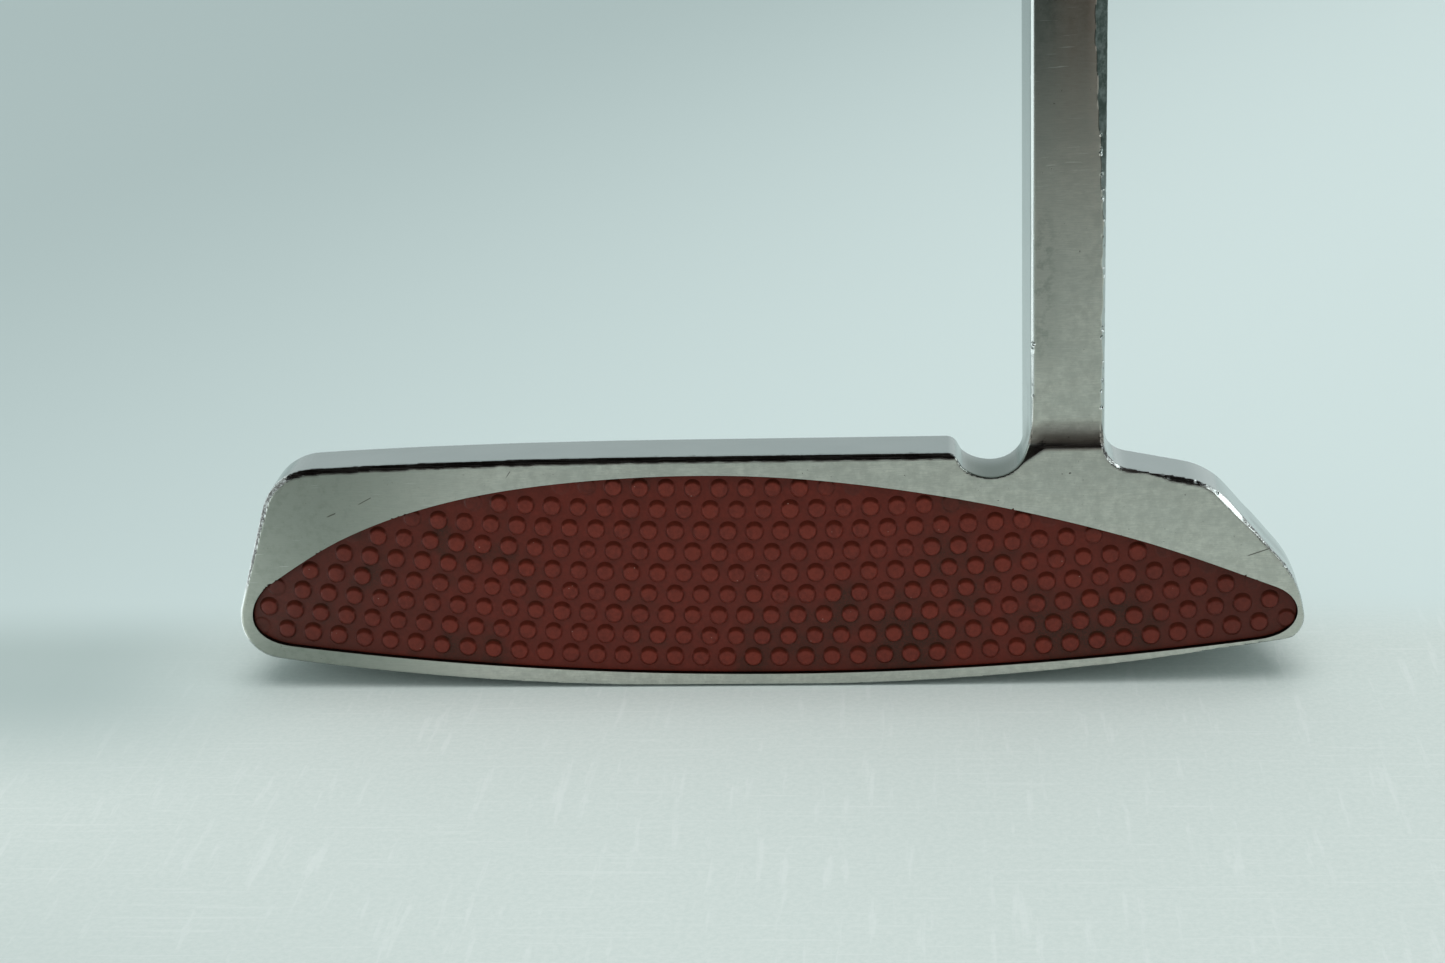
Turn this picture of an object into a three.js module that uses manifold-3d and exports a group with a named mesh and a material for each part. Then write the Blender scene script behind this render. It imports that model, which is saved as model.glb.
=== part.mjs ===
// Blade putter for a right-handed player: a cast steel head with a long flat-fronted neck, a studded
// polymer face insert, a stepped steel shaft glued into the hosel, and a flat-fronted rubber grip.
//
// Millimetres. +X runs from toe to heel, +Y from the striking face to the back, +Z up. The origin is the
// centre of the small flat on the sole, so the club stands at address with its shaft leaning to +X.
import * as THREE from "three";
import { mergeVertices } from "three/addons/utils/BufferGeometryUtils.js";
import Module from "manifold-3d";

const wasm = await Module();
wasm.setup();

// ---------------------------------------------------------------- driving dimensions

const LOFT = THREE.MathUtils.degToRad(3.5); // the face leans back by this much
const LIE = THREE.MathUtils.degToRad(71); // shaft above the ground, seen from the front
const CLUB_LENGTH = 889; // 35 in, along the shaft's axis from the ground to the butt

// Sole: a flat in the middle, then a large radius towards toe and heel.
const SOLE_FLAT = 8; // along X
const SOLE_RADIUS = 320;
const SOLE_FLAT_FRONT = 2; // behind the leading edge
const SOLE_FLAT_BACK = 20.5;
const ORIGIN_DEPTH = (SOLE_FLAT_FRONT + SOLE_FLAT_BACK) / 2; // leading edge to origin, along Y
const LEADING_EDGE_RISE = 0.25;
const TRAILING_SLOPE = 0.14; // rise of the sole behind the flat

// Blade: the plate behind the face.
const TOPLINE_HEIGHT = 27.2;
const BLADE_THICKNESS = 6.4;
const HEAD_DEPTH = 27; // leading edge to the back of the flange
const TOE_X = -58; // where the toe side would meet the sole without its radius
const HEEL_X = 64.1;
const TOPLINE_BREAK = 0.5; // chamfer round the face, at the topline
const SOLE_BREAK = 0.2; // and at the sole

// Insert and its pocket.
const INSERT_MID_X = 4;
const INSERT_LOW_Z = 1.5;
const INSERT_ARC = 400; // radius of its lower edge and of each row of studs
const POCKET_DEPTH = 3.1;
const POCKET_GAP = 0.12; // between the insert's edge and the pocket's wall
const INSERT_RECESS = 0.5; // the web between the studs lies this far behind the face
const INSERT_BASE = 2.2;
const ADHESIVE = 0.2;
const FILM_GAP = 0.1; // on each side of the adhesive film
const STUD_PITCH = 2.97; // along a row
const ROW_PITCH = 2.49;
const ROW_SHIFT = 1.095; // each row starts this much nearer the heel than the one below it
const STUD_ROWS = 9;
const FIRST_ROW = 1.9; // above the insert's lower edge
const STUD_START = 2.2; // x of one stud in the lowest row
const STUD_BASE_RADIUS = 1.05;
const STUD_TOP_RADIUS = 0.85;
const STUD_HEIGHT = 0.45;
const STUD_SIDES = 6;
const STUD_MARGIN = 1.0; // from a stud's centre to the insert's edge, at least

// Cavity, flange and weights behind the blade.
const FLANGE_HEIGHT = 6.2;
const WEIGHT_HEIGHT = 17.5; // upper tier of the toe and heel weights
const WEIGHT_STEP = 11; // lower tier
const STEP_DEPTH = 16; // leading edge to the back of the upper tier
const FRONT_NARROWING = 0.985; // the weights' length behind the blade, as a share of the blade's
const BACK_NARROWING = 0.94; // and towards the back of the flange
const BACK_CHAMFER = 1.6;
const CAVITY_TOE = -29;
const CAVITY_HEEL = 27;
const CAVITY_DRAFT = 3; // the cavity's end walls lean out by this much, up to the weights' top
const SIGHT_LINE_WIDTH = 1.6;
const SIGHT_LINE_DEPTH = 0.8;
const SIGHT_LINE_LENGTH = 14;
const ENAMEL_GAP = 0.1;

// Neck and hosel.
const NECK_X = 37.5;
const NECK_WIDTH = 7.9; // at its front
const NECK_DRAFT_TOE = 0.95; // wider by this much at its back, on the toe side
const NECK_DRAFT_HEEL = 0.45; // and on the heel side
const NECK_DEPTH = 8;
const NECK_SETBACK = 1; // from the face plane, at the neck's foot
const NECK_ROOT_Z = 12; // the neck starts this low, inside the heel weight
const NECK_FOOT_Z = 27.6; // the face ends here and the neck's concave foot begins
const NECK_FOOT_HEIGHT = 3.2;
const NECK_BEND_Z = 78;
const NECK_BEND_RADIUS = 45;
const HOSEL_RADIUS = 6.9;
const HOSEL_LENGTH = 30;
const BORE_RADIUS = 5.15;
const BORE_DEPTH = 28;

// Shaft and what is glued to it. Heights here run along the shaft's axis, from the hosel's mouth.
const SHAFT_TIP_RADIUS = 4.7; // 0.370 in parallel tip
const SHAFT_BUTT_RADIUS = 7.5; // 0.590 in butt
const SHAFT_WALL = 0.6;
const SHAFT_STEPS = 13;
const STEP_TAPER = 2.5; // length over which one step grows to the next
const FIRST_STEP = 130; // above the hosel's mouth
const STEP_PITCH = 34;
const GLUE_GAP = 0.05;
const GLUE_FLOOR = 0.4; // glue left under the shaft's tip
const TIP_PLUG_LENGTH = 12;
const FERRULE_LENGTH = 9;
const FERRULE_GAP = 0.05;

// Grip.
const GRIP_LENGTH = 267; // 10.5 in
const GRIP_WALL_GAP = 0.05;
const TAPE_THICKNESS = 0.35;
const CAP_THICKNESS = 4;
const CAP_SEAT = 6; // the cap's spigot inside the sleeve
const VENT_RADIUS = 1.6;

const ROUND_SIDES = 24;

// ---------------------------------------------------------------- outlines

const point = (x, y) => new THREE.Vector2(x, y);
const lerp = THREE.MathUtils.lerp;

/** Points of a circular arc, ends included. Angles are in radians. */
function arc(centre, radius, from, to, segments) {
  return Array.from({ length: segments + 1 }, (_, i) => {
    const angle = lerp(from, to, i / segments);
    return point(centre.x + radius * Math.cos(angle), centre.y + radius * Math.sin(angle));
  });
}

/** The arc that rounds the corner between two straight sides. */
function corner(before, at, after, radius, segments = 6) {
  const a = before.clone().sub(at).normalize();
  const b = after.clone().sub(at).normalize();
  const half = Math.acos(THREE.MathUtils.clamp(a.dot(b), -1, 1)) / 2;
  const middle = a.clone().add(b).normalize();
  const centre = at.clone().addScaledVector(middle, radius / Math.sin(half));
  const start = at.clone().addScaledVector(a, radius / Math.tan(half)).sub(centre).angle();
  let sweep = at.clone().addScaledVector(b, radius / Math.tan(half)).sub(centre).angle() - start;
  if (sweep > Math.PI) sweep -= 2 * Math.PI;
  if (sweep < -Math.PI) sweep += 2 * Math.PI;
  return arc(centre, radius, start, start + sweep, segments);
}

/** A closed outline from corners [x, y, radius]; a radius of 0 leaves the corner sharp. */
function roundedPolygon(corners, segments) {
  const at = corners.map(([x, y]) => point(x, y));
  return corners.flatMap(([, , radius], i) => {
    const before = at[(i + at.length - 1) % at.length];
    const after = at[(i + 1) % at.length];
    return radius ? corner(before, at[i], after, radius, segments) : [at[i]];
  });
}

/** An outline moved outwards by a distance, which can depend on the point. It runs anticlockwise. */
function offset(outline, distance) {
  return outline.map((p, i) => {
    const along = outline[(i + 1) % outline.length].clone();
    along.sub(outline[(i + outline.length - 1) % outline.length]).normalize();
    const grow = typeof distance === "function" ? distance(p) : distance;
    return point(p.x + along.y * grow, p.y - along.x * grow);
  });
}

/** Height of the sole's underside at x. */
function soleHeight(x) {
  const beyond = Math.max(0, Math.abs(x) - SOLE_FLAT / 2);
  return SOLE_RADIUS - Math.sqrt(SOLE_RADIUS ** 2 - beyond ** 2);
}

// The underside from the flat outwards, and the corners where it turns up at toe and heel.
const heelEnd = point(59, soleHeight(59));
const heelCorner = point(HEEL_X, 5.2);
const heelBulge = point(62.7, 12.3);
const heelShoulder = point(53.3, 23.4);
const toeEnd = point(-51, soleHeight(-51));
const toeCorner = point(TOE_X, soleHeight(TOE_X));
const toeTop = point(-51.6, 26.1);

/** The underside from the middle of the sole up to the heel's rounded corner. */
function soleToHeel() {
  const centre = point(SOLE_FLAT / 2, SOLE_RADIUS);
  const sweep = Math.asin((heelEnd.x - centre.x) / SOLE_RADIUS);
  return [
    ...arc(centre, SOLE_RADIUS, -Math.PI / 2, sweep - Math.PI / 2, 10),
    ...corner(heelEnd, heelCorner, heelBulge, 2.9, 7),
    ...corner(heelCorner, heelBulge, heelShoulder, 11, 4),
  ];
}

/** The underside from the toe's rounded corner back to the middle of the sole. */
function toeToSole() {
  const centre = point(-SOLE_FLAT / 2, SOLE_RADIUS);
  const sweep = Math.asin((centre.x - toeEnd.x) / SOLE_RADIUS);
  return [
    ...corner(toeTop, toeCorner, toeEnd, 4.9, 7),
    ...arc(centre, SOLE_RADIUS, -Math.PI / 2 - sweep, -Math.PI / 2, 9),
  ];
}

/** The lower part of the blade's outline, anticlockwise, cut level at a height. */
function lowerOutline(height) {
  const cut = (a, b) => point(lerp(a.x, b.x, (height - a.y) / (b.y - a.y)), height);
  return [...soleToHeel(), cut(heelBulge, heelShoulder), cut(toeTop, toeCorner), ...toeToSole()];
}

/** The blade seen from the front, anticlockwise, with the root of the neck. The root is wider than the
 * neck's front by a share of the neck's draft. */
function bladeOutline(share) {
  const neckToe = NECK_X - NECK_WIDTH / 2 - share * NECK_DRAFT_TOE;
  const neckHeel = NECK_X + NECK_WIDTH / 2 + share * NECK_DRAFT_HEEL;
  const rootTop = NECK_FOOT_Z + 6;
  const neckHeelFoot = point(neckHeel, 25.75);
  const notch = new THREE.CubicBezierCurve(
    point(neckToe, 31),
    point(neckToe + 0.15, 22.7),
    point(27.4, 24),
    point(25.9, 25.7),
  );
  const toplineEnd = point(25.1, TOPLINE_HEIGHT);
  const topline = new THREE.QuadraticBezierCurve(
    point(-8, TOPLINE_HEIGHT),
    point(-30, TOPLINE_HEIGHT - 0.05),
    point(-46.8, 26.3),
  );
  return [
    ...soleToHeel(),
    ...corner(heelBulge, heelShoulder, neckHeelFoot, 8.5, 6),
    ...corner(heelShoulder, neckHeelFoot, point(neckHeel, rootTop), 3.2, 7),
    point(neckHeel, rootTop),
    point(neckToe, rootTop),
    ...notch.getPoints(12),
    ...corner(notch.v3, toplineEnd, point(0, TOPLINE_HEIGHT), 1.4, 3),
    ...topline.getPoints(6),
    ...corner(topline.v2, toeTop, toeCorner, 6.5, 7),
    ...toeToSole(),
  ];
}

/** The pocket in the face, anticlockwise: a long arch over an arc, with round ends. */
function pocketOutline() {
  const lowEdge = (x) => point(x, INSERT_LOW_Z + (x - INSERT_MID_X) ** 2 / (2 * INSERT_ARC));
  const bottom = Array.from({ length: 13 }, (_, i) => lowEdge(lerp(-50.5, 58.5, i / 12)));
  const heelRound = new THREE.CubicBezierCurve(
    lowEdge(58.5),
    point(63.7, 5.9),
    point(63.9, 9.9),
    point(60.5, 11.35),
  );
  const arch = new THREE.SplineCurve([
    point(60.5, 11.35),
    point(45.4, 16.95),
    point(27.9, 21.5),
    point(10.3, 24.3),
    point(-5, 25.05),
    point(-21, 24.1),
    point(-33.6, 21.8),
    point(-44.2, 17.95),
    point(-53.3, 12.4),
  ]);
  const toeRound = new THREE.CubicBezierCurve(
    point(-53.3, 12.4),
    point(-56.1, 9.7),
    point(-56, 5.9),
    lowEdge(-50.5),
  );
  return [
    ...bottom.slice(0, -1),
    ...heelRound.getPoints(8).slice(0, -1),
    ...arch.getPoints(40).slice(0, -1),
    ...toeRound.getPoints(8).slice(0, -1),
  ];
}

// ---------------------------------------------------------------- solids

/** A closed solid through rings of equal length, capped at both ends. flat maps a point of a ring to the
 * plane in which its cap is triangulated. */
function loft(rings, flat) {
  const size = rings[0].length;
  const positions = rings.flatMap((ring) => ring.flatMap((p) => [p.x, p.y, p.z]));
  const faces = [];
  for (let r = 0; r + 1 < rings.length; r++) {
    for (let i = 0; i < size; i++) {
      const j = (i + 1) % size;
      const [a, b] = [r * size, (r + 1) * size];
      faces.push([a + i, b + i, b + j], [a + i, b + j, a + j]);
    }
  }
  const last = (rings.length - 1) * size;
  const cap = (ring) => THREE.ShapeUtils.triangulateShape(ring.map(flat), []);
  for (const [a, b, c] of cap(rings[0])) faces.push([a, b, c]);
  for (const [a, b, c] of cap(rings[rings.length - 1])) faces.push([last + a, last + c, last + b]);
  const geometry = new THREE.BufferGeometry();
  geometry.setAttribute("position", new THREE.Float32BufferAttribute(positions, 3));
  geometry.setIndex(faces.flat());
  return toSolid(geometry);
}

/** A three.js geometry as a manifold solid, turned the right way out. */
function toSolid(geometry) {
  const bare = geometry.clone();
  bare.deleteAttribute("normal");
  bare.deleteAttribute("uv");
  const merged = mergeVertices(bare, 1e-4);
  const vertProperties = new Float32Array(merged.getAttribute("position").array);
  const build = (order) => {
    const triVerts = new Uint32Array(merged.index.array);
    for (let i = 0; order < 0 && i < triVerts.length; i += 3) {
      [triVerts[i + 1], triVerts[i + 2]] = [triVerts[i + 2], triVerts[i + 1]];
    }
    return new wasm.Manifold(new wasm.Mesh({ numProp: 3, vertProperties, triVerts }));
  };
  const made = build(1);
  return made.volume() > 0 ? made : build(-1);
}

/** A manifold solid as a three.js geometry. */
function toGeometry(solid) {
  const { vertProperties, triVerts } = solid.getMesh();
  const geometry = new THREE.BufferGeometry();
  geometry.setAttribute("position", new THREE.Float32BufferAttribute(vertProperties, 3));
  geometry.setIndex([...triVerts]);
  return geometry;
}

const frontView = (p) => point(p.x, p.z);
const topView = (p) => point(p.x, p.y);
const sideView = (p) => point(p.y, p.z);

/** A solid through front-view outlines, each given as [outline, y]. */
const alongY = (...steps) =>
  loft(
    steps.map(([outline, y]) => outline.map((p) => new THREE.Vector3(p.x, y, p.y))),
    frontView,
  );

/** A solid through side-view outlines, whose points are (y, z), each given as [outline, x]. */
const alongX = (...steps) =>
  loft(
    steps.map(([outline, x]) => outline.map((p) => new THREE.Vector3(x, p.x, p.y))),
    sideView,
  );

/** A solid through plan outlines, each given as [outline, z]. */
const alongZ = (...steps) =>
  loft(
    steps.map(([outline, z]) => outline.map((p) => new THREE.Vector3(p.x, p.y, z))),
    topView,
  );

/** A solid of revolution about Z from a closed profile of [radius, z] corners. */
function turned(profile) {
  const closed = [...profile, profile[0]].map(([radius, z]) => point(radius, z));
  const geometry = new THREE.LatheGeometry(closed, ROUND_SIDES);
  geometry.rotateX(Math.PI / 2);
  return toSolid(geometry);
}

/** Applies a three.js matrix to a manifold solid. */
const placed = (solid, matrix) => solid.transform(matrix.elements);

// The face leans back: what is built on the plane y = 0 is sheared by the loft and moved to its place.
const onFace = new THREE.Matrix4()
  .makeTranslation(0, -ORIGIN_DEPTH, 0)
  .multiply(new THREE.Matrix4().makeShear(0, 0, 0, 0, 0, Math.tan(LOFT)));
const onLeadingEdge = new THREE.Matrix4().makeTranslation(0, -ORIGIN_DEPTH, 0);

// ---------------------------------------------------------------- shaft line

// The neck's centre line rises straight, then bends towards the heel until it lies along the shaft.
const LEAN = Math.PI / 2 - LIE;
const neckY = NECK_FOOT_Z * Math.tan(LOFT) + NECK_SETBACK + NECK_DEPTH / 2 - ORIGIN_DEPTH;
const onBend = (lean) =>
  new THREE.Vector3(
    NECK_X + NECK_BEND_RADIUS * (1 - Math.cos(lean)),
    neckY,
    NECK_BEND_Z + NECK_BEND_RADIUS * Math.sin(lean),
  );
const bendEnd = onBend(LEAN);
const shaftDirection = new THREE.Vector3(Math.sin(LEAN), 0, Math.cos(LEAN));
const hoselMouth = bendEnd.clone().addScaledVector(shaftDirection, HOSEL_LENGTH);
const buttHeight = CLUB_LENGTH - hoselMouth.z / Math.sin(LIE); // from the hosel's mouth
const alongShaft = new THREE.Matrix4().makeRotationY(LEAN).setPosition(hoselMouth);

// ---------------------------------------------------------------- head

/** The blade with its chamfered face and the root of the neck. */
function bladeSolid() {
  const front = bladeOutline(0);
  const back = bladeOutline(0.8);
  const edgeBreak = (p) => -lerp(SOLE_BREAK, TOPLINE_BREAK, Math.min(1, p.y / TOPLINE_HEIGHT));
  return placed(
    alongY(
      [offset(front, edgeBreak), 0],
      [front, TOPLINE_BREAK],
      [back, BLADE_THICKNESS - TOPLINE_BREAK / 2],
      [offset(back, -TOPLINE_BREAK / 2), BLADE_THICKNESS],
    ),
    onFace,
  );
}

/** What the ground face leaves behind at the foot of the neck: a concave sweep back from the face. */
function neckFootCutter() {
  const half = NECK_WIDTH / 2;
  const radius = (NECK_FOOT_HEIGHT ** 2 + NECK_SETBACK ** 2) / (2 * NECK_SETBACK);
  const arch = (rise) =>
    roundedPolygon(
      [
        [NECK_X - half - 2.4, NECK_FOOT_Z - 2.6 + rise, 0],
        [NECK_X - half + 1.3, NECK_FOOT_Z + rise, 1.5],
        [NECK_X + half - 0.5, NECK_FOOT_Z + rise, 1.5],
        [NECK_X + half + 2.4, NECK_FOOT_Z - 2.6 + rise, 0],
        [NECK_X + half + 2.4, NECK_FOOT_Z + 20, 0],
        [NECK_X - half - 2.4, NECK_FOOT_Z + 20, 0],
      ],
      4,
    );
  const steps = Array.from({ length: 6 }, (_, i) => {
    const rise = (NECK_FOOT_HEIGHT * i) / 5;
    const drop = NECK_FOOT_HEIGHT - rise;
    return [arch(rise), NECK_SETBACK - radius + Math.sqrt(radius ** 2 - drop ** 2)];
  });
  return placed(alongY([arch(0), -2], ...steps), onFace);
}

/** The solid mass behind the blade: the flange, with a two-tier weight at toe and heel. */
function backSolid() {
  const tiers = roundedPolygon(
    [
      [3, -1, 0],
      [HEAD_DEPTH, -1, 0],
      [HEAD_DEPTH, WEIGHT_STEP, 2],
      [STEP_DEPTH + 1.5, WEIGHT_STEP, 1.8],
      [STEP_DEPTH, WEIGHT_HEIGHT, 1.8],
      [3, WEIGHT_HEIGHT, 0],
    ],
    5,
  );
  const plan = roundedPolygon(
    [
      [TOE_X, 1, 0],
      [HEEL_X + 1, 1, 0],
      [HEEL_X, 14, 8],
      [HEEL_X - 8, HEAD_DEPTH, 7],
      [TOE_X + 7, HEAD_DEPTH, 7],
      [TOE_X, 14, 8],
    ],
    6,
  );
  const cavityPlan = (draft) =>
    roundedPolygon(
      [
        [CAVITY_TOE - draft, BLADE_THICKNESS + 1.4, 2],
        [CAVITY_HEEL + draft, BLADE_THICKNESS + 1.4, 2],
        [CAVITY_HEEL + draft, HEAD_DEPTH + 10, 2],
        [CAVITY_TOE - draft, HEAD_DEPTH + 10, 2],
      ],
      5,
    );
  const wallAt = (z) => {
    const share = (z - FLANGE_HEIGHT) / (WEIGHT_HEIGHT - FLANGE_HEIGHT);
    return [cavityPlan(CAVITY_DRAFT * share), z];
  };
  const cavity = alongZ(
    [offset(cavityPlan(0), -1.2), FLANGE_HEIGHT],
    [offset(cavityPlan(0), -0.35), FLANGE_HEIGHT + 0.4],
    wallAt(FLANGE_HEIGHT + 1.3),
    wallAt(WEIGHT_HEIGHT + 3),
  );
  const narrowed = (share) =>
    lowerOutline(WEIGHT_HEIGHT + 3).map((p) => point(p.x * share, p.y));
  return placed(
    alongX([tiers, TOE_X], [tiers, HEEL_X + 2])
      .intersect(alongZ([plan, -2], [plan, TOPLINE_HEIGHT + 10]))
      .intersect(
        alongY(
          [narrowed(FRONT_NARROWING), -5],
          [narrowed(FRONT_NARROWING), BLADE_THICKNESS - 1],
          [narrowed(BACK_NARROWING), HEAD_DEPTH - 3],
          [offset(narrowed(BACK_NARROWING), -BACK_CHAMFER), HEAD_DEPTH + 1],
        ),
      )
      .subtract(cavity),
    onLeadingEdge,
  );
}

/** Everything above the sole: its leading and trailing edges rise from the flat. */
function soleEnvelope() {
  const high = 200;
  const behind = HEAD_DEPTH + 1;
  const profile = [
    point(-6, LEADING_EDGE_RISE + 1),
    point(-0.5, LEADING_EDGE_RISE),
    point(SOLE_FLAT_FRONT, 0),
    point(SOLE_FLAT_BACK, 0),
    point(behind, TRAILING_SLOPE * (behind - SOLE_FLAT_BACK)),
    point(behind, high),
    point(-6, high),
  ];
  return placed(alongX([profile, TOE_X - 5], [profile, HEEL_X + 60]), onLeadingEdge);
}

/** One cross-section of the neck, square to its centre line. roundness runs from 0, flat-fronted with
 * drafted sides, to 1, the round hosel. */
function neckSection(roundness) {
  const half = NECK_WIDTH / 2;
  const side = 6;
  const flat = roundedPolygon(
    [
      [-half, -NECK_DEPTH / 2, 0.75],
      [half, -NECK_DEPTH / 2, 0.4],
      [half + NECK_DRAFT_HEEL, NECK_DEPTH / 2, 1.6],
      [-half - NECK_DRAFT_TOE, NECK_DEPTH / 2, 1.6],
    ],
    side,
  );
  return flat.map((p, i) => {
    const quarter = Math.floor(i / (side + 1));
    const share = (i % (side + 1)) / side;
    const angle = (-0.75 + 0.5 * quarter + 0.44 * (share - 0.5)) * Math.PI;
    const round = point(Math.cos(angle), Math.sin(angle)).multiplyScalar(HOSEL_RADIUS);
    return p.clone().lerp(round, roundness);
  });
}

/** The neck and hosel, a skin over sections along the bent centre line. */
function neckSolid() {
  const stations = [];
  for (const z of [NECK_ROOT_Z, NECK_FOOT_Z + 4, NECK_BEND_Z]) {
    stations.push({ at: new THREE.Vector3(NECK_X, neckY, z), lean: 0, roundness: 0 });
  }
  const bends = 8;
  const bulge = 12; // how far into the straight hosel the section still grows
  const mouthBreak = 0.6; // chamfer round the hosel's mouth
  const bendLength = NECK_BEND_RADIUS * LEAN;
  const roundnessAt = (travelled) => THREE.MathUtils.smoothstep(travelled, 0, bendLength + bulge);
  for (let i = 1; i <= bends; i++) {
    const lean = (LEAN * i) / bends;
    stations.push({ at: onBend(lean), lean, roundness: roundnessAt(NECK_BEND_RADIUS * lean) });
  }
  for (const ahead of [bulge / 3, (2 * bulge) / 3, bulge, HOSEL_LENGTH - mouthBreak]) {
    const at = bendEnd.clone().addScaledVector(shaftDirection, ahead);
    stations.push({ at, lean: LEAN, roundness: roundnessAt(bendLength + ahead) });
  }
  stations.push({ at: hoselMouth, lean: LEAN, roundness: 1, scale: 1 - mouthBreak / HOSEL_RADIUS });
  const rings = stations.map(({ at, lean, roundness, scale = 1 }) =>
    neckSection(roundness).map((p) => {
      const x = p.x * scale;
      return new THREE.Vector3(at.x + x * Math.cos(lean), at.y + p.y * scale, at.z - x * Math.sin(lean));
    }),
  );
  return loft(rings, topView);
}

/** The sight line's groove, or the enamel in it when gap is more than 0. */
function sightLine(gap) {
  const half = SIGHT_LINE_WIDTH / 2 - gap;
  const back = HEAD_DEPTH - 3.5;
  const plan = [
    point(-half, back - SIGHT_LINE_LENGTH + gap),
    point(half, back - SIGHT_LINE_LENGTH + gap),
    point(half, back - gap),
    point(-half, back - gap),
  ];
  const top = gap ? FLANGE_HEIGHT - ENAMEL_GAP : FLANGE_HEIGHT + 1;
  return placed(
    alongZ([plan, FLANGE_HEIGHT - SIGHT_LINE_DEPTH + gap], [plan, top]),
    onLeadingEdge,
  );
}

function headSolid() {
  const pocket = pocketOutline();
  const boreCutter = turned([
    [0, -BORE_DEPTH],
    [BORE_RADIUS, -BORE_DEPTH],
    [BORE_RADIUS, -0.5],
    [BORE_RADIUS + 0.5, 0.05],
    [BORE_RADIUS + 0.5, 5],
    [0, 5],
  ]);
  return bladeSolid()
    .subtract(neckFootCutter())
    .add(backSolid())
    .add(neckSolid())
    .intersect(soleEnvelope())
    .subtract(placed(alongY([pocket, -2], [pocket, POCKET_DEPTH]), onFace))
    .subtract(sightLine(0))
    .subtract(placed(boreCutter, alongShaft));
}

// ---------------------------------------------------------------- insert

/** Distance from a point to the nearest edge of an outline, negative outside it. */
function inside(outline, p) {
  let nearest = Infinity;
  let crossings = 0;
  outline.forEach((a, i) => {
    const b = outline[(i + 1) % outline.length];
    const line = new THREE.Line3(new THREE.Vector3(a.x, a.y), new THREE.Vector3(b.x, b.y));
    const foot = line.closestPointToPoint(new THREE.Vector3(p.x, p.y), true, new THREE.Vector3());
    nearest = Math.min(nearest, Math.hypot(foot.x - p.x, foot.y - p.y));
    const spans = a.y > p.y !== b.y > p.y;
    if (spans && p.x < a.x + ((p.y - a.y) * (b.x - a.x)) / (b.y - a.y)) crossings++;
  });
  return crossings % 2 ? nearest : -nearest;
}

/** Centres of the studs: rows that follow the insert's lower edge, each shifted along from the last. */
function studCentres(outline) {
  const centres = [];
  for (let row = 0; row < STUD_ROWS; row++) {
    const start = STUD_START + row * ROW_SHIFT;
    for (let n = -25; n <= 25; n++) {
      const x = start + n * STUD_PITCH;
      const arcRise = (x - INSERT_MID_X) ** 2 / (2 * INSERT_ARC);
      const centre = point(x, INSERT_LOW_Z + FIRST_ROW + row * ROW_PITCH + arcRise);
      if (inside(outline, centre) > STUD_MARGIN) centres.push(centre);
    }
  }
  return centres;
}

/** The moulded insert: a plate with studs whose tops end just behind the face. */
function insertSolid() {
  const outline = offset(pocketOutline(), -POCKET_GAP);
  const plate = alongY([outline, INSERT_RECESS], [outline, INSERT_RECESS + INSERT_BASE]);
  const ring = (centre, radius) =>
    Array.from({ length: STUD_SIDES }, (_, i) => {
      const angle = (2 * Math.PI * i) / STUD_SIDES;
      return point(centre.x + radius * Math.cos(angle), centre.y + radius * Math.sin(angle));
    });
  const studs = studCentres(outline).map((centre) =>
    alongY(
      [ring(centre, STUD_TOP_RADIUS), INSERT_RECESS - STUD_HEIGHT],
      [ring(centre, STUD_BASE_RADIUS), INSERT_RECESS + 0.1],
    ),
  );
  return placed(wasm.Manifold.union([plate, ...studs]), onFace);
}

/** The bonding film between the insert and the pocket's floor. */
function adhesiveSolid() {
  const outline = offset(pocketOutline(), -1.5);
  const front = INSERT_RECESS + INSERT_BASE + FILM_GAP;
  return placed(alongY([outline, front], [outline, front + ADHESIVE]), onFace);
}

// ---------------------------------------------------------------- shaft

/** The shaft's outside from the first step to the last, as [radius, height] corners. */
function shaftSteps() {
  const growth = (SHAFT_BUTT_RADIUS - SHAFT_TIP_RADIUS) / SHAFT_STEPS;
  const steps = [];
  for (let i = 0; i < SHAFT_STEPS; i++) {
    const height = FIRST_STEP + i * STEP_PITCH;
    steps.push([SHAFT_TIP_RADIUS + i * growth, height]);
    steps.push([SHAFT_TIP_RADIUS + (i + 1) * growth, height + STEP_TAPER]);
  }
  return steps;
}

const shaftBottom = -BORE_DEPTH + GLUE_FLOOR;
const shaftTop = buttHeight - CAP_THICKNESS;

/** The stepped steel tube. */
function shaftSolid() {
  const steps = shaftSteps();
  const outer = [[SHAFT_TIP_RADIUS, shaftBottom], ...steps, [SHAFT_BUTT_RADIUS, shaftTop]];
  const inner = outer.map(([radius, height]) => [radius - SHAFT_WALL, height]).reverse();
  return turned([...outer, ...inner]);
}

/** The epoxy between the shaft's tip and the hosel's bore. */
function epoxySolid() {
  return turned([
    [SHAFT_TIP_RADIUS + GLUE_GAP, shaftBottom],
    [BORE_RADIUS - GLUE_GAP, shaftBottom],
    [BORE_RADIUS - GLUE_GAP, -1],
    [SHAFT_TIP_RADIUS + GLUE_GAP, -1],
  ]);
}

/** The plug that keeps glue from running up inside the shaft. */
function tipPlugSolid() {
  const radius = SHAFT_TIP_RADIUS - SHAFT_WALL - GLUE_GAP;
  return turned([
    [0, shaftBottom + 1],
    [radius - 0.4, shaftBottom + 1],
    [radius, shaftBottom + 2],
    [radius, shaftBottom + TIP_PLUG_LENGTH],
    [0, shaftBottom + TIP_PLUG_LENGTH],
  ]);
}

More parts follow.
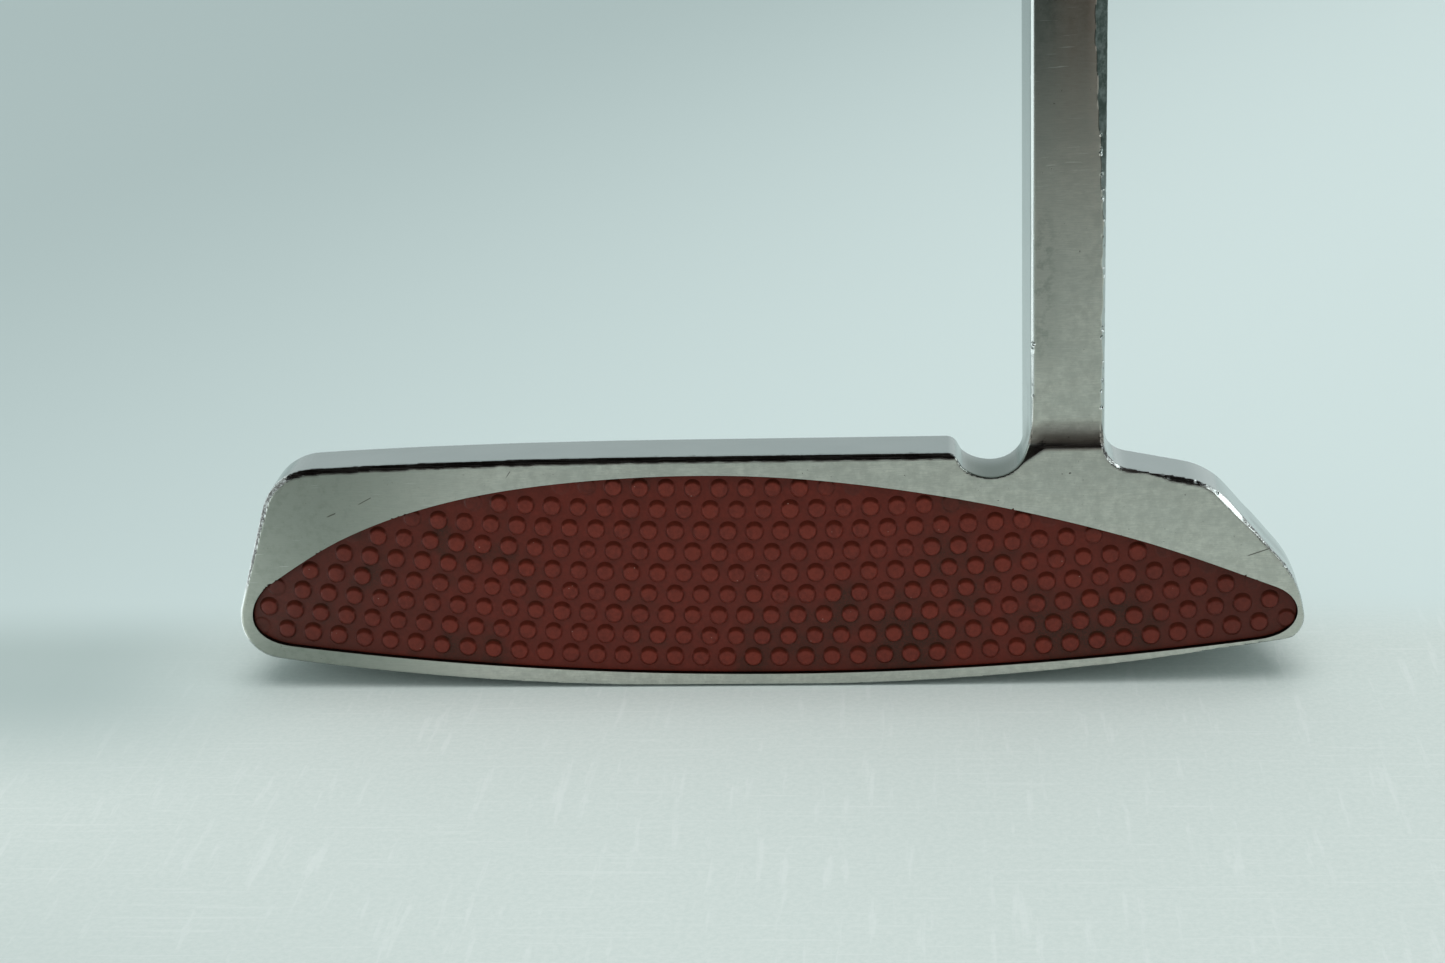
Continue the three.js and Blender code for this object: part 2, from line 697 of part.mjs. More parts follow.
/** The tapered collar over the joint between hosel and shaft. */
function ferruleSolid() {
  const inner = SHAFT_TIP_RADIUS + FERRULE_GAP;
  const seat = 0.1;
  return turned([
    [inner, seat],
    [HOSEL_RADIUS - 0.7, seat],
    [HOSEL_RADIUS - 0.7, seat + 2.2],
    [HOSEL_RADIUS - 1.0, seat + 2.5],
    [HOSEL_RADIUS - 1.0, seat + 3.1],
    [HOSEL_RADIUS - 0.8, seat + 3.4],
    [HOSEL_RADIUS - 1.1, seat + 5.6],
    [inner + 0.35, FERRULE_LENGTH],
    [inner, FERRULE_LENGTH],
  ]);
}

// ---------------------------------------------------------------- grip

const gripBottom = buttHeight - GRIP_LENGTH;
const tapeRadius = SHAFT_BUTT_RADIUS + GLUE_GAP + TAPE_THICKNESS;
const gripBore = tapeRadius + GRIP_WALL_GAP;

/** Width across the flat, reach of the flat (thumb side) and reach of the back, by share of the grip's
 * length from its mouth. */
const GRIP_STATIONS = [
  [0, 18.6, 9.2, 9.4],
  [0.02, 19.4, 9.6, 9.8],
  [0.25, 20.4, 10, 10.8],
  [0.5, 21.8, 10.4, 12.2],
  [0.68, 22.8, 10.8, 13.4],
  [0.78, 23.6, 11, 15.2],
  [0.87, 24.4, 11.3, 18],
  [0.94, 24.8, 11.5, 19],
  [1, 24.4, 11.4, 17.8],
];

/** One cross-section of the grip: flat towards -X with round corners, a half ellipse towards +X. */
function gripSection(width, flatReach, backReach) {
  const half = width / 2;
  const edge = 4.2;
  return [
    ...arc(point(-flatReach + edge, -half + edge), edge, -Math.PI, -Math.PI / 2, 4),
    ...Array.from({ length: 13 }, (_, i) => {
      const angle = lerp(-Math.PI / 2, Math.PI / 2, i / 12);
      return point(backReach * Math.cos(angle), half * Math.sin(angle));
    }),
    ...arc(point(-flatReach + edge, half - edge), edge, Math.PI / 2, Math.PI, 4),
  ];
}

/** The rubber sleeve, open at both ends. */
function gripSolid() {
  const length = GRIP_LENGTH - CAP_THICKNESS;
  const steps = GRIP_STATIONS.map(([share, ...section]) => [
    gripSection(...section),
    gripBottom + share * length,
  ]);
  const bore = turned([
    [0, gripBottom - 1],
    [gripBore, gripBottom - 1],
    [gripBore, shaftTop + 1],
    [0, shaftTop + 1],
  ]);
  return alongZ(...steps).subtract(bore);
}

/** The double-sided tape wound round the butt of the shaft, under the grip. */
function tapeSolid() {
  return turned([
    [SHAFT_BUTT_RADIUS + GLUE_GAP, gripBottom + 22],
    [tapeRadius, gripBottom + 22],
    [tapeRadius, shaftTop - 1],
    [SHAFT_BUTT_RADIUS + GLUE_GAP, shaftTop - 1],
  ]);
}

/** The butt cap, with a spigot inside the shaft's end and a vent through its middle. */
function capSolid() {
  const [, width, flatReach, backReach] = GRIP_STATIONS[GRIP_STATIONS.length - 1];
  const outline = gripSection(width, flatReach, backReach);
  const seat = shaftTop + FILM_GAP;
  const spigot = turned([
    [0, shaftTop - CAP_SEAT],
    [SHAFT_BUTT_RADIUS - SHAFT_WALL - GLUE_GAP, shaftTop - CAP_SEAT],
    [SHAFT_BUTT_RADIUS - SHAFT_WALL - GLUE_GAP, seat + 0.5],
    [0, seat + 0.5],
  ]);
  const vent = turned([
    [0, shaftTop - CAP_SEAT - 1],
    [VENT_RADIUS, shaftTop - CAP_SEAT - 1],
    [VENT_RADIUS, buttHeight + 1],
    [0, buttHeight + 1],
  ]);
  return alongZ(
    [outline, seat],
    [outline, buttHeight - 2],
    [offset(outline, -0.6), buttHeight - 0.8],
    [offset(outline, -1.8), buttHeight],
  )
    .add(spigot)
    .subtract(vent);
}

// ---------------------------------------------------------------- assembly

const finish = (color, roughness, metalness) =>
  new THREE.MeshStandardMaterial({ color, roughness, metalness, flatShading: true });

const castSteel = finish("#b4b8b2", 0.32, 1);
const insertRed = finish("#7a2a25", 0.5, 0);
const film = finish("#d8d2b8", 0.7, 0);
const enamel = finish("#101214", 0.35, 0);
const chrome = finish("#c9ccce", 0.12, 1);
const epoxy = finish("#b9a878", 0.4, 0);
const plugCork = finish("#b08a5c", 0.9, 0);
const blackPlastic = finish("#141414", 0.3, 0);
const rubber = finish("#1b1b1c", 0.85, 0);
const tape = finish("#d9d4c6", 0.9, 0);

const part = (name, solid, material) => {
  const mesh = new THREE.Mesh(toGeometry(solid), material);
  mesh.name = name;
  return mesh;
};

const head = new THREE.Group();
head.add(
  part("head_casting", headSolid(), castSteel),
  part("face_insert", insertSolid(), insertRed),
  part("insert_adhesive", adhesiveSolid(), film),
  part("sight_line_enamel", sightLine(ENAMEL_GAP), enamel),
);

const shaftLine = new THREE.Group();
shaftLine.position.copy(hoselMouth);
shaftLine.rotation.y = LEAN;
shaftLine.add(
  part("shaft", shaftSolid(), chrome),
  part("shaft_epoxy", epoxySolid(), epoxy),
  part("tip_plug", tipPlugSolid(), plugCork),
  part("ferrule", ferruleSolid(), blackPlastic),
  part("grip_sleeve", gripSolid(), rubber),
  part("grip_tape", tapeSolid(), tape),
  part("grip_cap", capSolid(), blackPlastic),
);

const putter = new THREE.Group();
putter.add(head, shaftLine);

export default putter;
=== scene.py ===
"""The looks of a blade putter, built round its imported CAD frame: a worn steel head with a red studded
insert, a stepped chrome shaft and a rubber grip. Lengths are in millimetres until a mesh is made."""

import math

import bpy
import numpy as np
from mathutils import Matrix, Vector


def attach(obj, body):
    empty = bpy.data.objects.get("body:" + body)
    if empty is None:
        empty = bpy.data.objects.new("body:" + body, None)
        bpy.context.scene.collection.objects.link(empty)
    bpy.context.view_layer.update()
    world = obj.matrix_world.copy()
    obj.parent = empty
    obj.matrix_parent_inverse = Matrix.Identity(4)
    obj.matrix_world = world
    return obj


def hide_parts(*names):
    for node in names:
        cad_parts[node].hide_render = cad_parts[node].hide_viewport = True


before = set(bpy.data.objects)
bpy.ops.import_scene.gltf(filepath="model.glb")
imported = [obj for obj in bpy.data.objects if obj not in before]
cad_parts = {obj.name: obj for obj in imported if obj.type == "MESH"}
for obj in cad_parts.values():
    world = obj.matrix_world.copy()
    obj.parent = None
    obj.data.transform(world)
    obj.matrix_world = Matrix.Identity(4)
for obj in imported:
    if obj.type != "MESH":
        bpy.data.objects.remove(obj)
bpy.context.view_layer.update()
MM = 0.001

# ------------------------------------------------------------------ driving dimensions

# These are the CAD model's, apart from the finer values that say so.

LOFT = math.radians(3.5)
LEAN = math.radians(19)
CLUB_LENGTH = 889

SOLE_FLAT = 8
SOLE_RADIUS = 320
LEADING_EDGE_RISE = 0.25
SOLE_FLAT_FRONT = 2
SOLE_FLAT_BACK = 20.5
TRAILING_SLOPE = 0.14
ORIGIN_DEPTH = (SOLE_FLAT_FRONT + SOLE_FLAT_BACK) / 2

TOPLINE_HEIGHT = 27.2
BLADE_THICKNESS = 6.4
HEAD_DEPTH = 27
TOE_X = -58
TOE_LIMIT = -56.58  # the toe ends here, just inside the CAD model's facets
HEEL_X = 64.1
FRONT_NARROWING = 0.985
BACK_NARROWING = 0.94

INSERT_MID_X = 4
INSERT_LOW_Z = 1.5
INSERT_ARC = 400
POCKET_DEPTH = 3.1
POCKET_GAP = 0.03  # a closer fit than the CAD model's
INSERT_RECESS = 0.5
INSERT_BASE = 2.2
STUD_PITCH = 2.97
ROW_PITCH = 2.49
ROW_SHIFT = 1.095
STUD_ROWS = 9
FIRST_ROW = 1.9
STUD_START = 2.2
STUD_HEIGHT = 0.45
STUD_RADIUS = 0.96  # the CAD model's studs are plain cones about as wide
STUD_SEGMENTS = 24

FLANGE_HEIGHT = 6.2
WEIGHT_HEIGHT = 17.5
WEIGHT_STEP = 11
STEP_DEPTH = 16
CAVITY_TOE = -29
CAVITY_HEEL = 27
CAVITY_DRAFT = 3
SIGHT_LINE_WIDTH = 1.6
SIGHT_LINE_DEPTH = 0.8
SIGHT_LINE_LENGTH = 14

NECK_X = 37.5
NECK_WIDTH = 7.9
NECK_DRAFT_TOE = 0.95
NECK_DRAFT_HEEL = 0.45
NECK_DEPTH = 8
NECK_SETBACK = 1
NECK_ROOT_Z = 12
NECK_FOOT_Z = 27.6
NECK_FOOT_HEIGHT = 3.2
NECK_BEND_Z = 78
NECK_BEND_RADIUS = 45
NECK_BULGE = 12
HOSEL_RADIUS = 6.9
HOSEL_LENGTH = 30
BORE_RADIUS = 5.15
BORE_DEPTH = 28

SHAFT_TIP_RADIUS = 4.7
SHAFT_BUTT_RADIUS = 7.5
SHAFT_WALL = 0.6
SHAFT_STEPS = 13
STEP_TAPER = 2.5
FIRST_STEP = 130
STEP_PITCH = 34
GLUE_FLOOR = 0.4
FERRULE_LENGTH = 9
GRIP_LENGTH = 267
CAP_THICKNESS = 4

NECK_Y = NECK_FOOT_Z * math.tan(LOFT) + NECK_SETBACK + NECK_DEPTH / 2 - ORIGIN_DEPTH
SHAFT_DIRECTION = np.array([math.sin(LEAN), 0, math.cos(LEAN)])
BEND_X = NECK_X + NECK_BEND_RADIUS * (1 - math.cos(LEAN))
BEND_Z = NECK_BEND_Z + NECK_BEND_RADIUS * math.sin(LEAN)
HOSEL_MOUTH = np.array([BEND_X, NECK_Y, BEND_Z]) + HOSEL_LENGTH * SHAFT_DIRECTION
BUTT_HEIGHT = CLUB_LENGTH - HOSEL_MOUTH[2] / math.cos(LEAN)

# ------------------------------------------------------------------ outlines


def arc(centre, radius, start, stop, segments):
    """Points of a circular arc, ends included."""
    angles = np.linspace(start, stop, segments + 1)
    return np.stack([centre[0] + radius * np.cos(angles), centre[1] + radius * np.sin(angles)], 1)


def corner(before, at, after, radius, segments=12):
    """The arc that rounds the corner between two straight sides."""
    before, at, after = (np.array(p, float) for p in (before, at, after))
    a = (before - at) / np.linalg.norm(before - at)
    b = (after - at) / np.linalg.norm(after - at)
    half = math.acos(np.clip(a @ b, -1, 1)) / 2
    middle = (a + b) / np.linalg.norm(a + b)
    centre = at + middle * radius / math.sin(half)
    reach = radius / math.tan(half)
    start = math.atan2(*(at + a * reach - centre)[::-1])
    stop = math.atan2(*(at + b * reach - centre)[::-1])
    sweep = (stop - start + math.pi) % (2 * math.pi) - math.pi
    return arc(centre, radius, start, start + sweep, segments)


def rounded_polygon(corners):
    """A closed outline from corners (x, y, radius)."""
    parts = []
    for i, (x, y, radius) in enumerate(corners):
        before = corners[i - 1][:2]
        after = corners[(i + 1) % len(corners)][:2]
        parts.append(corner(before, (x, y), after, radius) if radius else np.array([[x, y]]))
    return np.concatenate(parts)


def bezier(*controls, segments=24):
    """Points of a Bezier curve, ends included."""
    t = np.linspace(0, 1, segments + 1)[:, None]
    points = [np.array(c, float) + 0 * t for c in controls]
    while len(points) > 1:
        points = [a + (b - a) * t for a, b in zip(points, points[1:])]
    return points[0]


def through(points, segments=8):
    """A Catmull-Rom curve through the points, ends included."""
    p = np.array([points[0], *points, points[-1]], float)
    t = np.linspace(0, 1, segments, endpoint=False)[:, None]
    parts = []
    for a, b, c, d in zip(p, p[1:], p[2:], p[3:]):
        first = (c - a) / 2
        last = (d - b) / 2
        cubic = 2 * b - 2 * c + first + last
        square = -3 * b + 3 * c - 2 * first - last
        parts.append(((cubic * t + square) * t + first) * t + b)
    return np.concatenate([*parts, p[-1:]])


def sole_height(x):
    """Height of the sole's underside at x."""
    beyond = np.maximum(0, np.abs(x) - SOLE_FLAT / 2)
    return SOLE_RADIUS - np.sqrt(SOLE_RADIUS**2 - beyond**2)


def heel_side():
    """The underside from the middle of the sole up to the heel's bulge."""
    x = np.linspace(SOLE_FLAT / 2, HEEL_END[0], 30)
    sole = np.stack([x, sole_height(x)], 1)
    low = corner(HEEL_END, HEEL_CORNER, HEEL_BULGE, 2.9, 16)
    bulge = corner(HEEL_CORNER, HEEL_BULGE, HEEL_SHOULDER, 11, 8)
    return np.concatenate([sole, low, bulge])


def toe_side():
    """The underside from the toe's corner to the middle of the sole."""
    x = np.linspace(TOE_END[0], -SOLE_FLAT / 2, 30)
    return np.concatenate(
        [corner(TOE_TOP, TOE_CORNER, TOE_END, 4.9, 16), np.stack([x, sole_height(x)], 1)]
    )


HEEL_END = (59, sole_height(59))
HEEL_CORNER = (HEEL_X, 5.2)
HEEL_BULGE = (62.7, 12.3)
HEEL_SHOULDER = (53.3, 23.4)
HEEL_FOOT = (NECK_X + NECK_WIDTH / 2, 25.75)
TOE_END = (-51, sole_height(-51))
TOE_CORNER = (TOE_X, sole_height(TOE_X))
TOE_TOP = (-51.6, 26.1)


def lower_outline(height):
    """The lower part of the blade's outline, cut level at a height."""

    def cut(a, b):
        share = (height - a[1]) / (b[1] - a[1])
        return [a[0] + share * (b[0] - a[0]), height]

    top = np.array([cut(HEEL_BULGE, HEEL_SHOULDER), cut(TOE_TOP, TOE_CORNER)])
    return np.concatenate([heel_side(), top, toe_side()])


def toe_and_topline():
    """From the notch along the topline, round the toe and back along the underside."""
    toe_end = (-46.8, 26.3)
    topline = bezier((-8, TOPLINE_HEIGHT), (-30, TOPLINE_HEIGHT - 0.05), toe_end, segments=16)
    return np.concatenate([topline, corner(toe_end, TOE_TOP, TOE_CORNER, 6.5), toe_side()])


def blade_outline():
    """The blade seen from the front, with the notch and the root of the neck."""
    neck_toe = NECK_X - NECK_WIDTH / 2
    neck_heel = NECK_X + NECK_WIDTH / 2
    root_top = NECK_FOOT_Z + 6
    notch_start = (25.9, 25.7)
    return np.concatenate(
        [
            heel_side(),
            corner(HEEL_BULGE, HEEL_SHOULDER, HEEL_FOOT, 8.5),
            corner(HEEL_SHOULDER, HEEL_FOOT, (neck_heel, root_top), 3.2),
            [(neck_heel, root_top), (neck_toe, root_top)],
            bezier((neck_toe, 31), (33.7, 22.7), (27.4, 24.0), notch_start),
            corner(notch_start, (25.1, TOPLINE_HEIGHT), (20, TOPLINE_HEIGHT), 1.4),
            toe_and_topline(),
        ]
    )


def bevel_outline():
    """The outline that the bevel round the face follows: it skips the notch and the neck."""
    return np.concatenate(
        [
            heel_side(),
            corner(HEEL_BULGE, HEEL_SHOULDER, HEEL_FOOT, 4),
            [(44.6, 25.3), (43, 60), (29, 60), (29, TOPLINE_HEIGHT)],
            toe_and_topline(),
        ]
    )


def row_rise(x):
    """How much the insert's lower edge and its rows of studs rise away from their middle."""
    return (x - INSERT_MID_X) ** 2 / (2 * INSERT_ARC)


def pocket_outline():
    """The pocket in the face: a long arch over an arc, with round ends."""
    toe_low, heel_low = -50.5, 58.5
    toe_high, heel_high = (-53.3, 12.4), (60.5, 11.35)
    x = np.linspace(toe_low, heel_low, 60)
    bottom = np.stack([x, INSERT_LOW_Z + row_rise(x)], 1)
    arch = through(
        [heel_high, (45.4, 16.95), (27.9, 21.5), (10.3, 24.3), (-5, 25.05)]
        + [(-21, 24.1), (-33.6, 21.8), (-44.2, 17.95), toe_high]
    )
    heel_end = bezier(bottom[-1], (63.7, 5.9), (63.9, 9.9), heel_high, segments=16)
    toe_end = bezier(toe_high, (-56.1, 9.7), (-56, 5.9), bottom[0], segments=16)
    return np.concatenate([bottom[:-1], heel_end[:-1], arch[:-1], toe_end[:-1]])


# ------------------------------------------------------------------ distance fields


def polygon_distance(outline, points):
    """Signed distance from points to a closed outline, negative inside."""
    nearest = np.full(len(points), np.inf)
    inside = np.zeros(len(points), bool)
    x, y = points.T
    for a, b in zip(outline, np.roll(outline, -1, 0)):
        side = b - a
        length = side @ side
        if length < 1e-12:
            continue
        share = np.clip(((x - a[0]) * side[0] + (y - a[1]) * side[1]) / length, 0, 1)
        away = (x - a[0] - share * side[0]) ** 2 + (y - a[1] - share * side[1]) ** 2
        nearest = np.minimum(nearest, away)
        if a[1] != b[1]:
            spans = (a[1] > y) != (b[1] > y)
            inside ^= spans & (x < a[0] + (y - a[1]) * side[0] / side[1])
    return np.where(inside, -1, 1) * np.sqrt(nearest)


class Field:
    """The signed distance to an outline, kept on a grid and read between its points."""

    def __init__(self, outline, step=0.2, margin=5):
        self.low = outline.min(0) - margin
        self.step = step
        self.shape = np.ceil((outline.max(0) + margin - self.low) / step).astype(int) + 1
        axes = [self.low[i] + step * np.arange(self.shape[i]) for i in range(2)]
        grid = np.stack(np.meshgrid(*axes, indexing="ij"), -1).reshape(-1, 2)
        self.values = polygon_distance(outline, grid).reshape(self.shape)

    def __call__(self, x, y):
        u = (x - self.low[0]) / self.step
        v = (y - self.low[1]) / self.step
        u = np.clip(u, 0, self.shape[0] - 1.001)
        v = np.clip(v, 0, self.shape[1] - 1.001)
        i, j = u.astype(int), v.astype(int)
        u, v = u - i, v - j
        f = self.values
        low = f[i, j] * (1 - u) + f[i + 1, j] * u
        high = f[i, j + 1] * (1 - u) + f[i + 1, j + 1] * u
        return low * (1 - v) + high * v


def either(a, b, round_by):
    """Union of two solids with a fillet where they meet."""
    near = np.maximum(round_by - np.abs(a - b), 0) / round_by
    return np.minimum(a, b) - near**2 * round_by / 4


def both(a, b, round_by):
    """Intersection of two solids with a rounded edge where they meet."""
    return -either(-a, -b, round_by)


def smoothstep(low, high, x):
    """Rises smoothly from 0 at low to 1 at high."""
    t = np.clip((x - low) / (high - low), 0, 1)
    return t * t * (3 - 2 * t)


def behind_face(y, z):
    """Distance behind the plane of the striking face."""
    return (y + ORIGIN_DEPTH - z * math.tan(LOFT)) * math.cos(LOFT)


def along_shaft(x, y, z):
    """Distance from the shaft's axis, and height above the hosel's mouth."""
    dx, dy, dz = x - HOSEL_MOUTH[0], y - HOSEL_MOUTH[1], z - HOSEL_MOUTH[2]
    height = dx * SHAFT_DIRECTION[0] + dz * SHAFT_DIRECTION[2]
    across = dx * SHAFT_DIRECTION[2] - dz * SHAFT_DIRECTION[0]
    return np.hypot(across, dy), height


def rounded_field(corners, **grid):
    """The signed distance to a polygon with corners (x, y, radius)."""
    return Field(rounded_polygon(corners), **grid)


BLADE = Field(blade_outline())
BEVEL = Field(bevel_outline())
POCKET = Field(pocket_outline(), margin=8)
LOWER = Field(lower_outline(WEIGHT_HEIGHT + 6))
TIERS = rounded_field(
    [
        (4.5, -6, 0),
        (HEAD_DEPTH, -6, 0),
        (HEAD_DEPTH, WEIGHT_STEP, 2),
        (STEP_DEPTH + 1.5, WEIGHT_STEP, 1.8),
        (STEP_DEPTH, WEIGHT_HEIGHT, 1.8),
        (4.5, WEIGHT_HEIGHT, 0),
    ]
)
PLAN = rounded_field(
    [
        (TOE_X, 1, 0),
        (HEEL_X + 1, 1, 0),
        (HEEL_X, 14, 8),
        (HEEL_X - 8, HEAD_DEPTH, 7),
        (TOE_X + 7, HEAD_DEPTH, 7),
        (TOE_X, 14, 8),
    ]
)
CAVITY = rounded_field(
    [
        (CAVITY_TOE, BLADE_THICKNESS + 1.4, 2),
        (CAVITY_HEEL, BLADE_THICKNESS + 1.4, 2),
        (CAVITY_HEEL, HEAD_DEPTH + 10, 2),
        (CAVITY_TOE, HEAD_DEPTH + 10, 2),
    ],
    margin=14,
)
NECK = rounded_field(
    [
        (-NECK_WIDTH / 2, -NECK_DEPTH / 2, 0.75),
        (NECK_WIDTH / 2, -NECK_DEPTH / 2, 0.4),
        (NECK_WIDTH / 2 + NECK_DRAFT_HEEL, NECK_DEPTH / 2, 1.6),
        (-NECK_WIDTH / 2 - NECK_DRAFT_TOE, NECK_DEPTH / 2, 1.6),
    ],
    step=0.1,
)


def foot_distance(x, y, z):
    """What the ground face leaves behind at the neck's foot: a concave sweep up to the neck's front.
    Its lower edge is level across the neck and drops on both sides."""
    level_from, level_to, most_drop = 35, 41.5, 1.9
    drop = 0.62 * np.maximum(0, level_from - x) + 0.67 * np.maximum(0, x - level_to)
    height = z - NECK_FOOT_Z + np.minimum(drop, most_drop)
    ahead = y - (NECK_Y - NECK_DEPTH / 2)
    radius = (NECK_FOOT_HEIGHT**2 + NECK_SETBACK**2) / (2 * NECK_SETBACK)
    sweep = np.hypot(height - NECK_FOOT_HEIGHT, ahead + radius) - radius
    cut = np.where(height < NECK_FOOT_HEIGHT, sweep, ahead)
    beside = np.abs(x - NECK_X - 0.4) - NECK_WIDTH / 2 - 2.8
    return np.maximum(cut, beside)


def wobble(x):
    """The uneven width of a bevel dressed by hand."""
    return 0.035 * np.sin(1.3 * x) + 0.03 * np.sin(3.1 * x + 1) + 0.008 * np.sin(8.9 * x + 2)


def heel_fillet(x, z):
    """1 on the fillet between the neck and the heel, 0 away from it."""
    return smoothstep(40.5, 41.5, x) * smoothstep(46, 44.5, x) * smoothstep(23, 25, z)


def bevel_width(x, z):
    """Width of the bevel round the face: it widens towards the topline, ends beside the neck, and is
    wider again above the heel and narrow round it."""
    uneven = wobble(x) * smoothstep(12, 22, z) * smoothstep(54, 51, x)
    beside_neck = smoothstep(49, 44, x) * smoothstep(40, 44, x)
    width = 0.2 + 0.36 * smoothstep(6, 24, z) + uneven - 0.45 * beside_neck
    return width + 0.08 * smoothstep(51, 53.5, x) - 0.3 * smoothstep(54, 59, x)


def blade_distance(x, y, z):
    """The plate behind the face, bevelled round its edge and swept back at the neck's foot."""
    depth = behind_face(y, z)
    outline = BLADE(x, z)
    ahead = both(-depth, -foot_distance(x, y, z), 0.15)
    edge = (BEVEL(x, z) - depth + bevel_width(x, z)) / math.sqrt(2)
    rim_break = 0.13 + 0.16 * smoothstep(28, 32, z) + 0.24 * heel_fillet(x, z)
    rim = (outline + ahead + rim_break) / math.sqrt(2)
    plate = both(both(outline, rim, 0.1), edge, 0.1)
    plate = both(plate, ahead, 0.1)
    return both(plate, depth - BLADE_THICKNESS * math.cos(LOFT), 0.6)


def back_distance(x, back, z):
    """The flange and the two-tier weights behind the blade, and the cavity between them."""
    narrowing = np.interp(back, [BLADE_THICKNESS - 1, HEAD_DEPTH - 3], [FRONT_NARROWING, BACK_NARROWING])
    solid = both(LOWER(x / narrowing, z) * narrowing, TIERS(back, z), 1.2)
    solid = both(solid, PLAN(x, back), 1.2)
    draft = CAVITY_DRAFT * np.clip((z - FLANGE_HEIGHT) / (WEIGHT_HEIGHT - FLANGE_HEIGHT), -0.5, 1.5)
    cavity = both(CAVITY(x, back) - draft, FLANGE_HEIGHT - z, 2.4)
    solid = both(solid, -cavity, 0.7)
    half = SIGHT_LINE_WIDTH / 2
    line_back = HEAD_DEPTH - 3.5
    line_middle = line_back - SIGHT_LINE_LENGTH / 2
    groove = np.maximum(np.abs(x) - half, np.abs(back - line_middle) - SIGHT_LINE_LENGTH / 2)
    groove = both(groove, FLANGE_HEIGHT - SIGHT_LINE_DEPTH - z, 0.2)
    return both(solid, -groove, 0.15)


def neck_chamfer(z):
    """Leg of the worn chamfer on the heel side of the neck's front, which widens upwards."""
    return 0.32 + 1.0 * smoothstep(50, 78, z) + 0.06 * np.sin(0.8 * z) + 0.05 * np.sin(2.1 * z + 1)


def neck_distance(x, y, z):
    """The neck and hosel: a flat-fronted section that bends and swells to a round one."""
    centre = np.array([NECK_X + NECK_BEND_RADIUS, NECK_BEND_Z])
    angle = np.arctan2(z - centre[1], centre[0] - x)
    in_bend = (angle > 0) & (angle < LEAN)
    above = angle >= LEAN
    radius = np.hypot(x - centre[0], z - centre[1])
    height = along_shaft(x, y, z)[1]
    side_above = (x - HOSEL_MOUTH[0]) * SHAFT_DIRECTION[2] - (z - HOSEL_MOUTH[2]) * SHAFT_DIRECTION[0]
    side = np.where(above, side_above, np.where(in_bend, NECK_BEND_RADIUS - radius, x - NECK_X))
    travelled = np.where(
        above,
        height + HOSEL_LENGTH + NECK_BEND_RADIUS * LEAN,
        np.where(in_bend, NECK_BEND_RADIUS * angle, z - NECK_BEND_Z),
    )
    roundness = smoothstep(0, NECK_BEND_RADIUS * LEAN + NECK_BULGE, travelled)
    corner_reach = side - NECK_WIDTH / 2 - (y - NECK_Y) - NECK_DEPTH / 2
    chamfer = (corner_reach + neck_chamfer(z)) / math.sqrt(2)
    flat = np.maximum(NECK(side, y - NECK_Y), chamfer)
    tube = np.hypot(side, y - NECK_Y) - HOSEL_RADIUS
    section = flat * (1 - roundness) + tube * roundness
    mouth = travelled - HOSEL_LENGTH - NECK_BEND_RADIUS * LEAN
    return both(both(section, mouth, 0.9), NECK_ROOT_Z - z, 0.5)


def sole_distance(x, back, z):
    """Everything above the sole, whose leading and trailing edges lift from the flat."""
    front = LEADING_EDGE_RISE * (SOLE_FLAT_FRONT - back) / (SOLE_FLAT_FRONT + 0.5)
    rear = TRAILING_SLOPE * (back - SOLE_FLAT_BACK)
    lift = np.maximum(0, np.maximum(front, rear))
    return np.maximum(lift, sole_height(np.clip(x, -62, 62))) - z


def nick(x, y, z, at, size, stretch):
    """A dent: a lopsided ball cut into an edge, stretched along X and squeezed along Z or the reverse."""
    along = (x - at[0]) / stretch
    up = (z - at[2]) * stretch
    return np.sqrt(along**2 + ((y - at[1]) / 1.2) ** 2 + up**2) - size


def edge_nicks():
    """Place, size and stretch of the dents along the front edge of the heel, topline and neck."""
    rng = np.random.default_rng(8)
    outline = blade_outline()
    tries_on_blade, dents_on_neck = 90, 80
    nicks = [(60.1, 16.0, 0.5, 1.0), (62.6, 12.3, 0.4, 0.7)]
    nicks += [(60.0, 4.5, 0.38, 2.0), (56.6, 20.4, 0.3, 1.0)]
    for _ in range(tries_on_blade):
        x, z = outline[rng.integers(len(outline))] + rng.normal(0, 0.12, 2)
        on_heel = x > 43 and z > 6
        beside_neck = 24 < x < 46
        if z > 12 and not beside_neck and (on_heel or rng.random() < 0.35):
            nicks.append((x, z, rng.uniform(0.1, 0.24 if on_heel else 0.17), rng.uniform(0.6, 1.7)))
    dents = [(x, z * math.tan(LOFT) - ORIGIN_DEPTH + 0.2, z, *rest) for x, z, *rest in nicks]
    neck_front = NECK_Y - NECK_DEPTH / 2
    toe_edge = NECK_X - NECK_WIDTH / 2
    for _ in range(dents_on_neck):
        z = rng.uniform(31, 92)
        x = toe_edge
        if rng.random() < 0.8:
            x = NECK_X + NECK_WIDTH / 2 - neck_chamfer(z) * rng.random()
        dents.append((x, neck_front + 0.1, z, rng.uniform(0.08, 0.2), rng.uniform(0.6, 1.3)))
    dents.append((toe_edge + 0.05, neck_front, 38.6, 0.3, 0.8))
    dents.append((toe_edge + 0.15, neck_front, 39.3, 0.24, 1.3))
    return dents


NICKS = edge_nicks()


